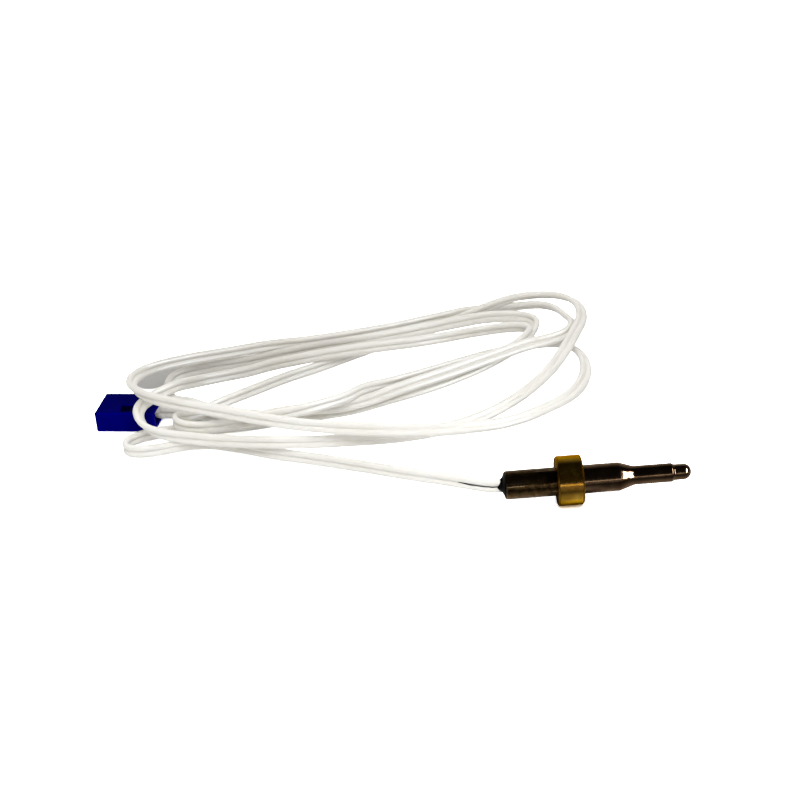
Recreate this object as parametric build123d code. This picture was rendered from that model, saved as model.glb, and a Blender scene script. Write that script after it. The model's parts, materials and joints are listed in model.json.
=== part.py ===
from build123d import *
import math
import os

# Sheathed two-wire flame sensor probe with a coiled cable and plug. Millimetres, +Z up.
# Origin: centre of the collar's front face, on the probe axis. +X runs along the probe to its tip.
# The assembly lies on a flat surface at Z = -COLLAR_OD / 2. In the probe, front means +X.

# ---------------------------------------------------------------- driving dimensions
COLLAR_OD = 10.5
COLLAR_LENGTH = 5.4
COLLAR_CHAMFER = 0.3

BARREL_R = 6.0 / 2
BARREL_WALL = 0.4
BARREL_REAR_X, BARREL_FRONT_X = -16.0, 7.6
BARREL_CHAMFER = 0.18
BARREL_BORE_R = BARREL_R - BARREL_WALL

# slightly upset seat for the pressed-on collar, set a little ahead of it
SEAT_FRONT_X = 0.3
SEAT_REAR_X = SEAT_FRONT_X - COLLAR_LENGTH
SEAT_R = BARREL_R + 0.2

TIP_R = 3.95 / 2
TIP_WALL = 0.4
TIP_START_X, TIP_END_X = 10.8, 18.6
TIP_BORE_R = TIP_R - TIP_WALL
NOSE_R = 3.35 / 2
NOSE_START_X, NOSE_END_X = 19.15, 22.7
NOSE_BORE_R = NOSE_R - TIP_WALL + 0.02
DOME_X = NOSE_END_X - NOSE_R     # centre of the domed end

CORE_R = 0.69                    # one insulated core
CORE_BORE_R = 0.42
CONDUCTOR_R = 0.30
CORE_OFFSET = 0.76               # each core's centre from the cable's centreline
CORES = (("a", 1), ("b", -1))    # name and side of the centreline
SIDES = (1, -1)

JACKET_END_X = -9.6              # jackets end here inside the barrel
STRAIGHT_LENGTH = 2.5            # straight cable behind the jacket ends
CONDUCTOR_END_X = -0.9           # conductors end here inside the ferrules

FERRULE_X0, FERRULE_X1 = -1.4, 2.6
FERRULE_R, FERRULE_BORE_R = 0.56, 0.34
SLEEVE_X0, SLEEVE_X1 = -3.0, 3.4
SLEEVE_R, SLEEVE_BORE_R = 0.735, 0.60

LEAD_R = 0.12
LEAD_OFFSET = 0.62               # each lead's centre from the axis in the ceramic
LEAD_REAR_X = 0.8
LEAD_BEND_X0, LEAD_BEND_X1 = 3.9, 6.6
CERAMIC_R, CERAMIC_BORE_R = 1.35, 0.20
CERAMIC_X0, CERAMIC_X1 = 7.4, 17.0

BEAD_X0, BEAD_X1, BEAD_R = 18.2, 20.5, 1.0
BEAD_REAR_CHAMFER, BEAD_FRONT_CHAMFER = 0.3, 0.2
CHIP_LENGTH, CHIP_WIDTH, CHIP_HEIGHT = 0.5, 0.6, 0.7
CHIP_POCKET_DEPTH = 0.4
FILL_X0, FILL_X1 = CERAMIC_X1 + 0.1, BEAD_X1 - 0.3
FILL_GAP = 0.02                  # between the fill and the sheath bore
HOLE_GAP = 0.01                  # radial gap round the leads and the bead

POTTING_FRONT_X, POTTING_LIP_X = -9.8, -18.0
POTTING_GAP = 0.01               # between the potting and the barrel bore
CORE_GAP = 0.012                 # between the potting and each jacket
LINER_X0, LINER_X1 = POTTING_FRONT_X + 0.4, BARREL_FRONT_X - 1.2
LINER_R, LINER_BORE_R = BARREL_BORE_R - 0.04, BARREL_BORE_R - 0.36

OVERCUT = 1.0                    # how far cutters run past the faces they open

# ---------------------------------------------------------------- cable route
# Each entry: centreline x, y, z, then the unit vector from the centreline to core A.
# The route starts at the probe and ends at the plug.
STRAIGHT_ROUTE = [
    (JACKET_END_X, 0, 0, 0, 0, 1),
    (JACKET_END_X - STRAIGHT_LENGTH, 0, 0, 0, 0, 1),
]
LEAD_ROUTE = [
    (-15.489, -0.031, 0.001, -0.047, 0.01, 0.999), (-16.732, 0.032, -0.023, -0.051, 0.013, 0.999),
    (-17.998, 0.069, -0.014, -0.058, 0.018, 0.998), (-18.713, 0.246, -0.063, -0.062, 0.022, 0.998),
    (-19.384, 0.569, -0.161, -0.065, 0.026, 0.998), (-20.905, 1.431, -0.333, -0.069, 0.034, 0.997),
    (-22.611, 2.465, -0.474, -0.071, 0.041, 0.997), (-24.293, 3.533, -0.636, -0.073, 0.046, 0.996),
    (-26.171, 4.757, -0.837, -0.077, 0.05, 0.996),
]
COIL_ROUTE = [
    (-27.002, 5.306, -0.926, -0.079, 0.052, 0.996), (-37.164, 12.028, -2.187, -0.078, 0.051, 0.996),
    (-46.417, 17.913, -3.028, -0.044, 0.026, 0.999), (-54.601, 22.202, -3.327, -0.02, 0.009, 1),
    (-65.346, 26.955, -3.371, 0.013, -0.006, 1), (-75.192, 31.247, -3.003, 0.052, -0.018, 0.998),
    (-79.751, 32.517, -2.692, 0.036, -0.006, 0.999), (-84.984, 32.821, -2.657, -0.037, 0, 0.999),
    (-92.95, 32.538, -3.318, -0.06, 0.004, 0.998), (-96.922, 32.913, -3.479, -0.005, 0.002, 1),
    (-98.311, 33.477, -3.433, 0.015, -0.013, 1), (-99.054, 34.155, -3.391, 0.019, -0.031, 0.999),
    (-99.411, 34.818, -3.362, 0.014, -0.043, 0.999), (-99.544, 35.564, -3.333, 0.002, -0.05, 0.999),
    (-99.442, 36.313, -3.294, -0.01, -0.05, 0.999), (-99.128, 36.999, -3.249, -0.019, -0.043, 0.999),
    (-98.466, 37.747, -3.195, -0.023, -0.03, 0.999), (-96.788, 38.834, -3.13, -0.013, -0.009, 1),
    (-93.043, 40.221, -3.164, 0.017, 0.005, 1), (-86.646, 41.308, -3.379, 0.028, 0.003, 1),
    (-78.405, 41.404, -3.578, 0.006, 0.001, 1), (-69.668, 41.193, -3.266, -0.083, 0.005, 0.997),
    (-60.72, 41.544, -2.394, -0.05, 0.019, 0.999), (-53.014, 42.294, -2.479, 0.013, 0.065, 0.998),
    (-48.129, 43.309, -2.505, -0.068, 0.092, 0.993), (-38.566, 46.156, -1.87, -0.11, 0.217, 0.97),
    (-30.586, 49.041, -1.486, -0.198, 0.325, 0.925), (-22.15, 52.79, -0.937, -0.27, 0.419, 0.867),
    (-14.232, 56.925, 0.128, -0.372, 0.406, 0.835), (-8.383, 60.56, 1.332, -0.444, 0.305, 0.842),
    (-5.133, 63.539, 2.199, -0.451, 0.193, 0.872), (-3.854, 65.375, 2.373, -0.446, 0.106, 0.889),
    (-3.283, 67.029, 2.365, -0.437, 0.009, 0.899), (-3.28, 67.78, 2.34, -0.428, -0.038, 0.903),
    (-3.557, 68.747, 2.295, -0.409, -0.102, 0.907), (-4.109, 69.583, 2.235, -0.382, -0.159, 0.91),
    (-5.273, 70.513, 2.076, -0.336, -0.221, 0.916), (-8.204, 71.828, 1.61, -0.251, -0.275, 0.928),
    (-13.02, 72.914, 0.869, -0.154, -0.27, 0.95), (-17.986, 73.047, 0.385, -0.044, -0.232, 0.972),
    (-22.9, 72.181, 0.25, 0.047, -0.166, 0.985), (-32.246, 69.448, 0.718, 0.075, -0.069, 0.995),
    (-42.469, 67.135, 1.309, 0.05, -0.021, 0.998), (-52.781, 65.176, 1.497, -0.022, -0.011, 1),
    (-60.957, 64.278, 0.934, -0.081, -0.01, 0.997), (-66.888, 63.61, 0.409, -0.092, -0.019, 0.996),
    (-72.166, 62.156, -0.012, -0.008, -0.003, 1), (-78.681, 59.64, 0.353, 0.087, 0.042, 0.995),
    (-82.994, 57.201, 0.97, 0.147, 0.113, 0.983), (-84.919, 55.35, 1.594, 0.163, 0.162, 0.973),
    (-88.457, 51.068, 3.06, 0.091, 0.095, 0.991), (-90.986, 48.665, 3.194, 0, 0, 1),
    (-94.244, 45.962, 2.873, -0.046, -0.059, 0.997), (-95.541, 44.136, 2.713, -0.044, -0.094, 0.995),
    (-96.231, 42.004, 2.556, -0.024, -0.154, 0.988), (-96.328, 40.276, 2.313, 0.018, -0.206, 0.978),
    (-95.978, 38.624, 1.863, 0.078, -0.229, 0.97), (-95.097, 36.954, 1.213, 0.132, -0.201, 0.971),
    (-93.596, 35.383, 0.643, 0.135, -0.128, 0.983), (-91.123, 33.728, 0.301, 0.077, -0.048, 0.996),
    (-84.079, 30.507, 0.217, -0.004, 0.002, 1), (-75.553, 27.643, 0.341, -0.019, 0.008, 1),
    (-64.862, 25.065, 0.512, 0.002, 0.02, 1), (-56.713, 23.822, 0.524, 0.004, 0.07, 0.998),
    (-48.471, 23.647, 0.414, 0.035, 0.188, 0.982), (-39.78, 24.456, -0.136, -0.003, 0.405, 0.914),
    (-30.74, 26.331, -0.623, -0.144, 0.652, 0.745), (-24.095, 28.504, -0.811, -0.318, 0.761, 0.565),
    (-17.635, 31.775, -0.584, -0.491, 0.779, 0.389), (-11.985, 35.879, -0.23, -0.632, 0.727, 0.269),
    (-5.672, 41.887, 0.514, -0.735, 0.648, 0.199), (-0.896, 47.925, 1.347, -0.819, 0.54, 0.196),
    (2.972, 54.266, 2.342, -0.875, 0.424, 0.234), (6.951, 62.222, 3.691, -0.869, 0.365, 0.333),
    (8.864, 66.809, 4.152, -0.884, 0.226, 0.408), (9.686, 71.22, 4.359, -0.877, 0.033, 0.48),
    (9.49, 75.459, 4.463, -0.812, -0.211, 0.544), (8.772, 77.586, 4.513, -0.734, -0.36, 0.576),
    (7.277, 79.886, 4.574, -0.597, -0.519, 0.612), (5.233, 81.716, 4.591, -0.44, -0.625, 0.644),
    (2.771, 82.925, 4.494, -0.289, -0.68, 0.673), (-0.633, 83.696, 4.316, -0.132, -0.694, 0.708),
    (-5.369, 83.673, 4.089, -0.039, -0.661, 0.75), (-10.975, 82.967, 3.073, -0.092, -0.607, 0.789),
    (-19.713, 81.162, 0.642, -0.119, -0.47, 0.875), (-27.622, 79.475, -0.952, -0.066, -0.303, 0.951),
    (-34.594, 77.649, -1.693, -0.012, -0.177, 0.984), (-39.35, 75.468, -1.954, 0.007, -0.106, 0.994),
    (-47.539, 70.662, -2.064, 0.038, -0.011, 0.999), (-55.533, 65.093, -1.8, 0.026, 0.011, 1),
    (-63.54, 59.555, -1.292, 0.044, 0.031, 0.999), (-70.534, 53.91, -0.899, 0.029, 0.024, 0.999),
    (-78.833, 47.09, -0.503, 0.003, 0.002, 1), (-83.452, 43.677, -0.727, 0.047, 0.036, 0.998),
    (-86.341, 41.783, -0.223, 0.097, 0.118, 0.988), (-87.417, 40.807, 0.182, 0.063, 0.138, 0.988),
    (-87.866, 39.949, 0.413, 0.024, 0.123, 0.992), (-87.967, 39.204, 0.512, -0.003, 0.092, 0.996),
    (-87.865, 38.451, 0.536, -0.013, 0.052, 0.999), (-87.571, 37.756, 0.491, -0.007, 0.014, 1),
    (-86.916, 37.013, 0.359, 0.015, -0.017, 1), (-86.072, 36.482, 0.226, 0.033, -0.025, 0.999),
    (-83.458, 35.664, 0.036, 0.029, -0.008, 1), (-78.982, 35.274, 0.1, -0.027, 0.001, 1),
    (-72.52, 35.802, 0.445, -0.071, -0.008, 0.997), (-65.486, 37.459, 0.956, -0.011, 0.008, 1),
    (-57.004, 39.513, 0.401, 0.087, 0.058, 0.995), (-48.34, 41.746, -0.543, 0.004, 0.106, 0.994),
    (-42.872, 43.483, -0.29, -0.146, 0.129, 0.981), (-35.432, 46.251, 0.66, -0.175, 0.246, 0.953),
    (-25.11, 50.689, 1.196, -0.234, 0.413, 0.88), (-14.259, 55.779, 1.776, -0.284, 0.526, 0.801),
    (-5.055, 59.624, 2.47, -0.264, 0.589, 0.764), (2.066, 61.964, 2.645, -0.324, 0.579, 0.748),
    (4.529, 63.164, 2.827, -0.471, 0.477, 0.742), (5.801, 64.34, 3.049, -0.573, 0.355, 0.739),
    (6.669, 65.846, 3.241, -0.644, 0.204, 0.737), (7.006, 67.304, 3.333, -0.672, 0.079, 0.736),
    (6.887, 69.299, 3.365, -0.676, -0.052, 0.735), (5.92, 72.395, 3.231, -0.658, -0.169, 0.733),
    (4.255, 77.099, 3.074, -0.607, -0.301, 0.735), (2.57, 79.567, 2.914, -0.543, -0.399, 0.739),
    (0.298, 81.49, 2.591, -0.472, -0.474, 0.744), (-3.626, 83.503, 1.732, -0.363, -0.538, 0.761),
    (-7.868, 84.773, 0.986, -0.197, -0.57, 0.798), (-12.586, 85.218, 0.797, -0.025, -0.541, 0.841),
    (-18.059, 84.753, 0.829, 0.079, -0.45, 0.89), (-24.282, 82.906, 0.737, 0.106, -0.322, 0.941),
    (-35.302, 78.835, 0.909, 0.074, -0.129, 0.989), (-46.208, 75.218, 1.355, 0.057, -0.027, 0.998),
    (-57.962, 71.839, 2.031, 0.069, 0.011, 0.998), (-68.065, 69.126, 2.928, 0.08, 0.024, 0.997),
    (-76.917, 65.758, 3.629, 0.08, 0.032, 0.996), (-86.47, 61.533, 4.664, 0.086, 0.044, 0.995),
    (-92.691, 57.88, 5.319, 0.06, 0.045, 0.997), (-96.264, 54.779, 5.618, 0.029, 0.037, 0.999),
    (-97.811, 52.515, 5.71, 0.012, 0.028, 1), (-98.45, 50.625, 5.752, 0.003, 0.021, 1),
    (-98.459, 49.124, 5.763, -0.001, 0.015, 1), (-97.848, 46.704, 5.794, -0.002, 0.005, 1),
    (-96.491, 44.319, 5.812, 0.005, -0.007, 1), (-94.058, 41.814, 5.723, 0.016, -0.014, 1),
    (-88.229, 37.953, 5.608, 0.005, -0.003, 1), (-78.557, 32.72, 5.647, -0.008, 0.005, 1),
    (-69.048, 27.712, 5.66, 0.011, 0.004, 1), (-61.357, 24.109, 5.608, 0.024, 0.027, 0.999),
    (-53.987, 21.742, 5.367, 0.068, 0.084, 0.994), (-45.428, 19.993, 4.957, 0.085, 0.243, 0.966),
    (-37.232, 19.277, 4.413, 0.09, 0.476, 0.875), (-29.542, 19.578, 3.548, 0.006, 0.705, 0.709),
    (-22.454, 20.855, 2.772, -0.148, 0.841, 0.521), (-14.846, 23.136, 1.852, -0.322, 0.881, 0.346),
    (-10.196, 25.52, 1.434, -0.485, 0.83, 0.276), (-3.419, 30.616, 0.928, -0.617, 0.748, 0.245),
    (1.266, 35.091, 0.508, -0.72, 0.634, 0.283), (4.272, 39.373, 0.184, -0.81, 0.474, 0.345),
    (6.482, 44.665, -0.086, -0.853, 0.289, 0.435), (7.803, 50.507, -0.185, -0.839, 0.1, 0.535),
    (7.945, 55.245, -0.15, -0.79, -0.094, 0.606), (7.204, 58.912, -0.077, -0.7, -0.292, 0.652),
    (5.973, 61.365, -0.017, -0.578, -0.45, 0.68), (4.619, 62.831, 0.044, -0.465, -0.545, 0.698),
    (2.696, 63.991, 0.032, -0.339, -0.613, 0.714), (-0.394, 64.943, -0.236, -0.168, -0.66, 0.733),
    (-3.372, 65.108, -0.494, -0.001, -0.663, 0.749), (-7.049, 64.408, -0.477, 0.165, -0.621, 0.766),
    (-14.065, 61.794, -0.186, 0.269, -0.536, 0.8), (-23.153, 57.073, 0.172, 0.27, -0.424, 0.864),
    (-32.887, 51.456, 0.654, 0.227, -0.256, 0.94), (-39.804, 47.051, 1.492, 0.239, -0.089, 0.967),
    (-44.392, 43.746, 2.497, 0.156, -0.042, 0.987), (-48.877, 39.765, 2.599, 0.079, -0.028, 0.996),
    (-53.784, 36.358, 3.075, 0.073, 0.003, 0.997), (-58.758, 34.041, 3.312, 0.004, -0.015, 1),
    (-63.34, 32.836, 3.115, -0.016, -0.009, 1), (-67.079, 32.716, 3.097, 0.022, -0.005, 1),
    (-70.731, 33.507, 3.309, 0.032, -0.012, 0.999), (-75.466, 35.755, 3.405, -0.013, 0.006, 1),
    (-80.553, 38.913, 3.156, -0.053, 0.042, 0.998), (-83.961, 42.183, 2.75, -0.119, 0.132, 0.984),
    (-86.622, 45.601, 1.554, -0.151, 0.221, 0.964), (-89.494, 50.611, -0.041, -0.076, 0.166, 0.983),
    (-90.812, 53.812, -0.516, -0.021, 0.074, 0.997), (-91.436, 56.744, -0.544, 0.001, -0.013, 1),
    (-91.526, 58.989, -0.434, -0.012, -0.063, 0.998), (-91.21, 60.445, -0.29, -0.032, -0.074, 0.997),
    (-90.461, 61.729, -0.088, -0.047, -0.063, 0.997), (-89.348, 62.722, 0.057, -0.045, -0.041, 0.998),
    (-86.259, 64.356, 0.124, -0.01, -0.005, 1), (-80.538, 66.136, 0.029, 0.004, 0.001, 1),
    (-72.872, 67.222, 0.102, -0.036, -0.004, 0.999), (-64.484, 68.416, 0.722, -0.067, -0.01, 0.998),
    (-54.396, 70.18, 1.08, -0.003, 0.006, 1), (-44.086, 72.15, 0.977, 0.007, 0.028, 1),
    (-32.21, 75.15, 0.868, -0.026, 0.083, 0.996), (-20.58, 78.102, 1.029, -0.067, 0.19, 0.98),
    (-13.685, 79.245, 1.252, -0.027, 0.285, 0.958), (-8.448, 79.05, 1.21, 0.07, 0.348, 0.935),
    (-4.564, 78.117, 1.179, 0.25, 0.33, 0.91), (-2.571, 77.092, 0.999, 0.424, 0.186, 0.886),
    (-1.851, 76.413, 0.845, 0.486, 0.061, 0.872), (-1.488, 75.768, 0.675, 0.508, -0.051, 0.86),
    (-1.34, 75.063, 0.465, 0.502, -0.163, 0.85), (-1.522, 73.886, 0.07, 0.443, -0.317, 0.838),
    (-2.279, 72.145, -0.544, 0.323, -0.447, 0.834), (-3.371, 70.852, -0.985, 0.251, -0.489, 0.835),
    (-5.564, 69.269, -1.458, 0.204, -0.51, 0.836), (-13.274, 65.19, -2.133, 0.2, -0.519, 0.831),
    (-21.979, 61.436, -2.684, 0.134, -0.481, 0.867), (-33.104, 56.988, -3.336, 0.103, -0.316, 0.943),
    (-41.938, 52.872, -3.46, 0.067, -0.166, 0.984), (-50.524, 48.82, -3.556, 0.032, -0.066, 0.997),
    (-58.611, 46.217, -3.451, -0.004, -0.028, 1), (-65.441, 44.725, -3.692, -0.017, -0.011, 1),
    (-71.928, 44.474, -3.694, -0.001, -0.003, 1), (-76.373, 45.113, -3.699, 0.022, -0.006, 1),
    (-80.155, 46.41, -3.647, 0.09, -0.032, 0.995), (-82.181, 47.24, -3.135, 0.105, -0.037, 0.994),
    (-84.717, 48.217, -2.767, 0.073, -0.02, 0.997),
]
TAIL_ROUTE = [
    (-85.695, 48.431, -2.74, 0.054, -0.013, 0.998), (-87.424, 48.7, -2.75, 0.027, -0.005, 1),
    (-89.155, 48.951, -2.766, 0.011, -0.002, 1), (-91.129, 49.277, -2.754, 0.004, -0.001, 1),
    (-92.855, 49.564, -2.749, 0.003, 0, 1),
]


# ---------------------------------------------------------------- helpers
def save(shape, name):
    export_step(shape, f"parts/{name}.step")


def core_points(route, side):
    return [
        Vector(x, y, z) + Vector(to_a_x, to_a_y, to_a_z) * (side * CORE_OFFSET)
        for x, y, z, to_a_x, to_a_y, to_a_z in route
    ]


def tangents(points):
    """Unit tangents of the parabola through each point and its two neighbours."""
    steps = [(b - a).length for a, b in zip(points, points[1:])]
    chords = [(b - a) / step for a, b, step in zip(points, points[1:], steps)]
    inner = [
        ((chords[i - 1] * steps[i] + chords[i] * steps[i - 1]) / (steps[i] + steps[i - 1])).normalized()
        for i in range(1, len(points) - 1)
    ]
    first = (chords[0] * 1.5 - inner[0] * 0.5).normalized()
    last = (chords[-1] * 1.5 - inner[-1] * 0.5).normalized()
    return [first] + inner + [last]


def arc_wire(points, tans):
    """A smooth chain of circular arcs: two arcs between each pair of points."""
    edges = []
    for p0, p1, t0, t1 in zip(points, points[1:], tans, tans[1:]):
        # equal reach along both tangents puts the arcs' meeting point midway between its ends
        chord = p1 - p0
        a, b, c = 2 * (1 - t0.dot(t1)), 2 * chord.dot(t0 + t1), -chord.dot(chord)
        if abs(a) < 1e-9:
            reach = chord.dot(chord) / (4 * chord.dot(t1))
        else:
            reach = (-b + math.sqrt(b * b - 4 * a * c)) / (2 * a)
        mid = ((p0 + t0 * reach) + (p1 - t1 * reach)) * 0.5
        for start, tan in ((p0, t0), (p1, t1 * -1)):
            bend = (mid - start) - tan * (mid - start).dot(tan)
            if bend.length >= 1e-5:
                edges.append(Edge.make_tangent_arc(start, tan, mid))
            elif start is p0:
                edges.append(Edge.make_line(start, mid))
            else:
                edges.append(Edge.make_line(mid, start))
    return Wire(edges)


def rod(points, radius, tans):
    plane = Plane(origin=points[0], z_dir=tans[0])
    section = Face(Wire([Edge.make_circle(radius, plane)]))
    return Solid.sweep(section, path=arc_wire(points, tans))


def jacket(points, tans):
    """A hollow core: outer and inner swept skins closed by two ring faces."""
    outer, inner = rod(points, CORE_R, tans), rod(points, CORE_BORE_R, tans)
    skins = [f for f in outer.faces() + inner.faces() if f.geom_type != GeomType.PLANE]
    caps = [f for f in inner.faces() if f.geom_type == GeomType.PLANE]
    rings = []
    for face in outer.faces():
        if face.geom_type == GeomType.PLANE:
            cap = min(caps, key=lambda c: (c.center() - face.center()).length)
            rings.append(Face(face.outer_wire(), [cap.outer_wire()]))
    return Solid(Shell(skins + rings))


def turned(profile, rounding=()):
    """A solid of revolution about X from (x, r) points; rounding lists (x, r, fillet)."""
    face = Face(Wire.make_polygon([Vector(x, 0, r) for x, r in profile], close=True))
    for x, r, fillet_r in rounding:
        corner = min(face.vertices(), key=lambda v: (Vector(v.X, v.Y, v.Z) - Vector(x, 0, r)).length)
        face = face.fillet_2d(fillet_r, [corner])
    return Solid.revolve(face, 360, Axis.X)


def bar(x0, x1, radius, z=0.0):
    return Solid.make_cylinder(radius, x1 - x0, Plane(origin=(x0, 0, z), z_dir=(1, 0, 0)))


def pipe(x0, x1, radius, bore, z=0.0):
    return bar(x0, x1, radius, z) - bar(x0 - OVERCUT, x1 + OVERCUT, bore, z)


def dome(radius):
    return Solid.make_sphere(radius, Plane(origin=(DOME_X, 0, 0)), -90, 90, 360)


# ---------------------------------------------------------------- probe body
def sheath_tube():
    outer = turned(
        [(BARREL_REAR_X, 0), (BARREL_REAR_X, BARREL_R - BARREL_CHAMFER),
         (BARREL_REAR_X + BARREL_CHAMFER, BARREL_R), (SEAT_REAR_X, BARREL_R),
         (SEAT_REAR_X, SEAT_R), (SEAT_FRONT_X, SEAT_R), (SEAT_FRONT_X, BARREL_R),
         (BARREL_FRONT_X, BARREL_R), (TIP_START_X, TIP_R), (TIP_END_X, TIP_R),
         (NOSE_START_X, NOSE_R), (DOME_X, NOSE_R), (DOME_X, 0)],
        [(BARREL_FRONT_X, BARREL_R, 0.9), (TIP_START_X, TIP_R, 2.0),
         (TIP_END_X, TIP_R, 0.25), (NOSE_START_X, NOSE_R, 0.25)],
    ) + dome(NOSE_R)
    # bore corners sit a little behind the outer ones
    barrel_x, tip_x = BARREL_FRONT_X - 0.25, TIP_START_X - 0.3
    rear_x = BARREL_REAR_X - OVERCUT
    inner = turned(
        [(rear_x, 0), (rear_x, BARREL_BORE_R), (barrel_x, BARREL_BORE_R), (tip_x, TIP_BORE_R),
         (TIP_END_X - 0.25, TIP_BORE_R), (NOSE_START_X - 0.2, NOSE_BORE_R),
         (DOME_X, NOSE_BORE_R), (DOME_X, 0)],
        [(barrel_x, BARREL_BORE_R, 0.6), (tip_x, TIP_BORE_R, 1.6)],
    ) + dome(NOSE_BORE_R)
    return outer - inner


def brass_collar():
    radius, chamfer = COLLAR_OD / 2, COLLAR_CHAMFER
    return turned(
        [(-COLLAR_LENGTH, SEAT_R), (-COLLAR_LENGTH, radius - chamfer),
         (-COLLAR_LENGTH + chamfer, radius), (-chamfer, radius), (0, radius - chamfer), (0, SEAT_R)]
    )


# ---------------------------------------------------------------- sensing end
def chip_box(length):
    """A box of the chip's section, from the floor of its pocket forwards."""
    corner = (BEAD_X1 - CHIP_POCKET_DEPTH, -CHIP_WIDTH / 2, -CHIP_HEIGHT / 2)
    return Solid.make_box(length, CHIP_WIDTH, CHIP_HEIGHT, Plane(origin=corner))


def element_leads():
    leads = []
    for side in SIDES:
        z0, z1 = side * CORE_OFFSET, side * LEAD_OFFSET
        stations = [(LEAD_REAR_X, z0), (LEAD_BEND_X0, z0), (LEAD_BEND_X1, z1), (BEAD_X1 - 0.2, z1)]
        leads.append(rod([Vector(x, 0, z) for x, z in stations], LEAD_R, [Vector(1, 0, 0)] * 4))
    return Compound(children=leads)


def element_glass_bead():
    """Holds the chip in a pocket in its front face and the leads in blind holes."""
    bead = turned(
        [(BEAD_X0, 0), (BEAD_X0, BEAD_R - BEAD_REAR_CHAMFER), (BEAD_X0 + BEAD_REAR_CHAMFER, BEAD_R),
         (BEAD_X1 - BEAD_FRONT_CHAMFER, BEAD_R), (BEAD_X1, BEAD_R - BEAD_FRONT_CHAMFER), (BEAD_X1, 0)]
    )
    bead = bead - chip_box(1.0)
    for side in SIDES:
        bead = bead - bar(BEAD_X0 - OVERCUT, BEAD_X1 - 0.18, LEAD_R + HOLE_GAP, side * LEAD_OFFSET)
    return bead


def ceramic_insulator():
    body = bar(CERAMIC_X0, CERAMIC_X1, CERAMIC_R)
    for side in SIDES:
        z = side * LEAD_OFFSET
        body = body - bar(CERAMIC_X0 - OVERCUT, CERAMIC_X1 + OVERCUT, CERAMIC_BORE_R, z)
    return body


def tip_fill():
    tip_r, nose_r = TIP_BORE_R - FILL_GAP, NOSE_BORE_R - FILL_GAP
    fill = turned(
        [(FILL_X0, 0), (FILL_X0, tip_r), (TIP_END_X - 0.3, tip_r), (NOSE_START_X - 0.25, nose_r),
         (FILL_X1, nose_r), (FILL_X1, 0)]
    )
    fill = fill - bar(BEAD_X0 - HOLE_GAP, BEAD_X1 + OVERCUT, BEAD_R + HOLE_GAP)
    for side in SIDES:
        fill = fill - bar(FILL_X0 - OVERCUT, BEAD_X0 + 0.5, LEAD_R + HOLE_GAP, side * LEAD_OFFSET)
    return fill


# ---------------------------------------------------------------- splices and potting
def pipe_pair(x0, x1, radius, bore):
    return Compound(children=[pipe(x0, x1, radius, bore, side * CORE_OFFSET) for side in SIDES])


def lead_path(side):
    points = core_points(STRAIGHT_ROUTE + LEAD_ROUTE, side)
    return points, [Vector(-1, 0, 0)] * 2 + tangents(points)[2:]


def potting_plug():
    fit_r = BARREL_BORE_R - POTTING_GAP
    # tapers behind the barrel to a lip round the cable
    potting = turned(
        [(POTTING_FRONT_X, 0), (POTTING_FRONT_X, fit_r), (BARREL_REAR_X, fit_r),
         (BARREL_REAR_X - 0.35, 2.2), (BARREL_REAR_X - 0.9, 1.86),
         (POTTING_LIP_X + 0.35, 1.62), (POTTING_LIP_X, 1.5), (POTTING_LIP_X, 0)]
    )
    for side in SIDES:
        points, tans = lead_path(side)
        potting = potting - rod(points, CORE_R + CORE_GAP, tans)
    return potting


# ---------------------------------------------------------------- connector
# Local frame: l runs from the rear (cable) face to the mating face, w across, h up.
PLUG_LENGTH, PLUG_WIDTH, PLUG_HEIGHT = 14.2, 10.0, 5.0
PLUG_YAW = math.radians(-9.5)    # about Z, rear face towards +X
PLUG_REAR = Vector(-93.07, 49.6, (PLUG_HEIGHT - COLLAR_OD) / 2)
L_DIR = Vector(-math.cos(PLUG_YAW), -math.sin(PLUG_YAW), 0)
W_DIR = Vector(-math.sin(PLUG_YAW), math.cos(PLUG_YAW), 0)
PLUG_TOP = PLUG_HEIGHT / 2
CAVITY_OFFSET = 4.3 / 2
CAVITY_W, CAVITY_TOP = 2.7, 2.9 / 2
REAR_POCKET = 3.8
WINDOW = (5.7, 8.5, -4.2, -0.5)  # l0, l1, w0, w1 of the opening in the top
CRIMP_L, CRIMP_LENGTH, CRIMP_R, CRIMP_BORE_R = 6.2, 2.2, 0.62, 0.34
SOCKET_L0, SOCKET_L1, SOCKET_WALL = 9.2, 13.7, 0.25
SOCKET_HALF_W, SOCKET_HALF_H = 1.1, 1.2
TAIL_END_L = 8.0                 # conductors end here inside the crimps


def at(l, w, h):
    return PLUG_REAR + L_DIR * l + W_DIR * w + Vector(0, 0, h)


def block(l0, l1, w0, w1, h0, h1):
    plane = Plane(origin=at(l0, w1, h0), x_dir=L_DIR, z_dir=(0, 0, 1))
    return Solid.make_box(l1 - l0, w1 - w0, h1 - h0, plane)


def mid_block(l0, l1, half_w, half_h, w=0.0):
    return block(l0, l1, w - half_w, w + half_w, -half_h, half_h)


def window_block(inset, h0, h1):
    l0, l1, w0, w1 = WINDOW
    return block(l0 + inset, l1 - inset, w0 + inset, w1 - inset, h0, h1)


def plug_housing():
    housing = mid_block(0, PLUG_LENGTH, PLUG_WIDTH / 2, PLUG_TOP)
    housing = housing.fillet(0.35, housing.edges())
    housing = housing - mid_block(-OVERCUT, REAR_POCKET, 3.6, 1.6)
    for side in SIDES:
        housing = housing - mid_block(REAR_POCKET - OVERCUT, PLUG_LENGTH + OVERCUT,
                                      CAVITY_W / 2, CAVITY_TOP, side * CAVITY_OFFSET)
    return housing - window_block(0, CAVITY_TOP - 0.5, PLUG_TOP + OVERCUT)


def terminal_retainer():
    """A block in the window with a shallow recess in its top."""
    body = window_block(0.06, CAVITY_TOP + 0.02, PLUG_TOP - 0.45)
    return body - window_block(0.9, PLUG_TOP - 0.75, PLUG_TOP)


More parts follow.
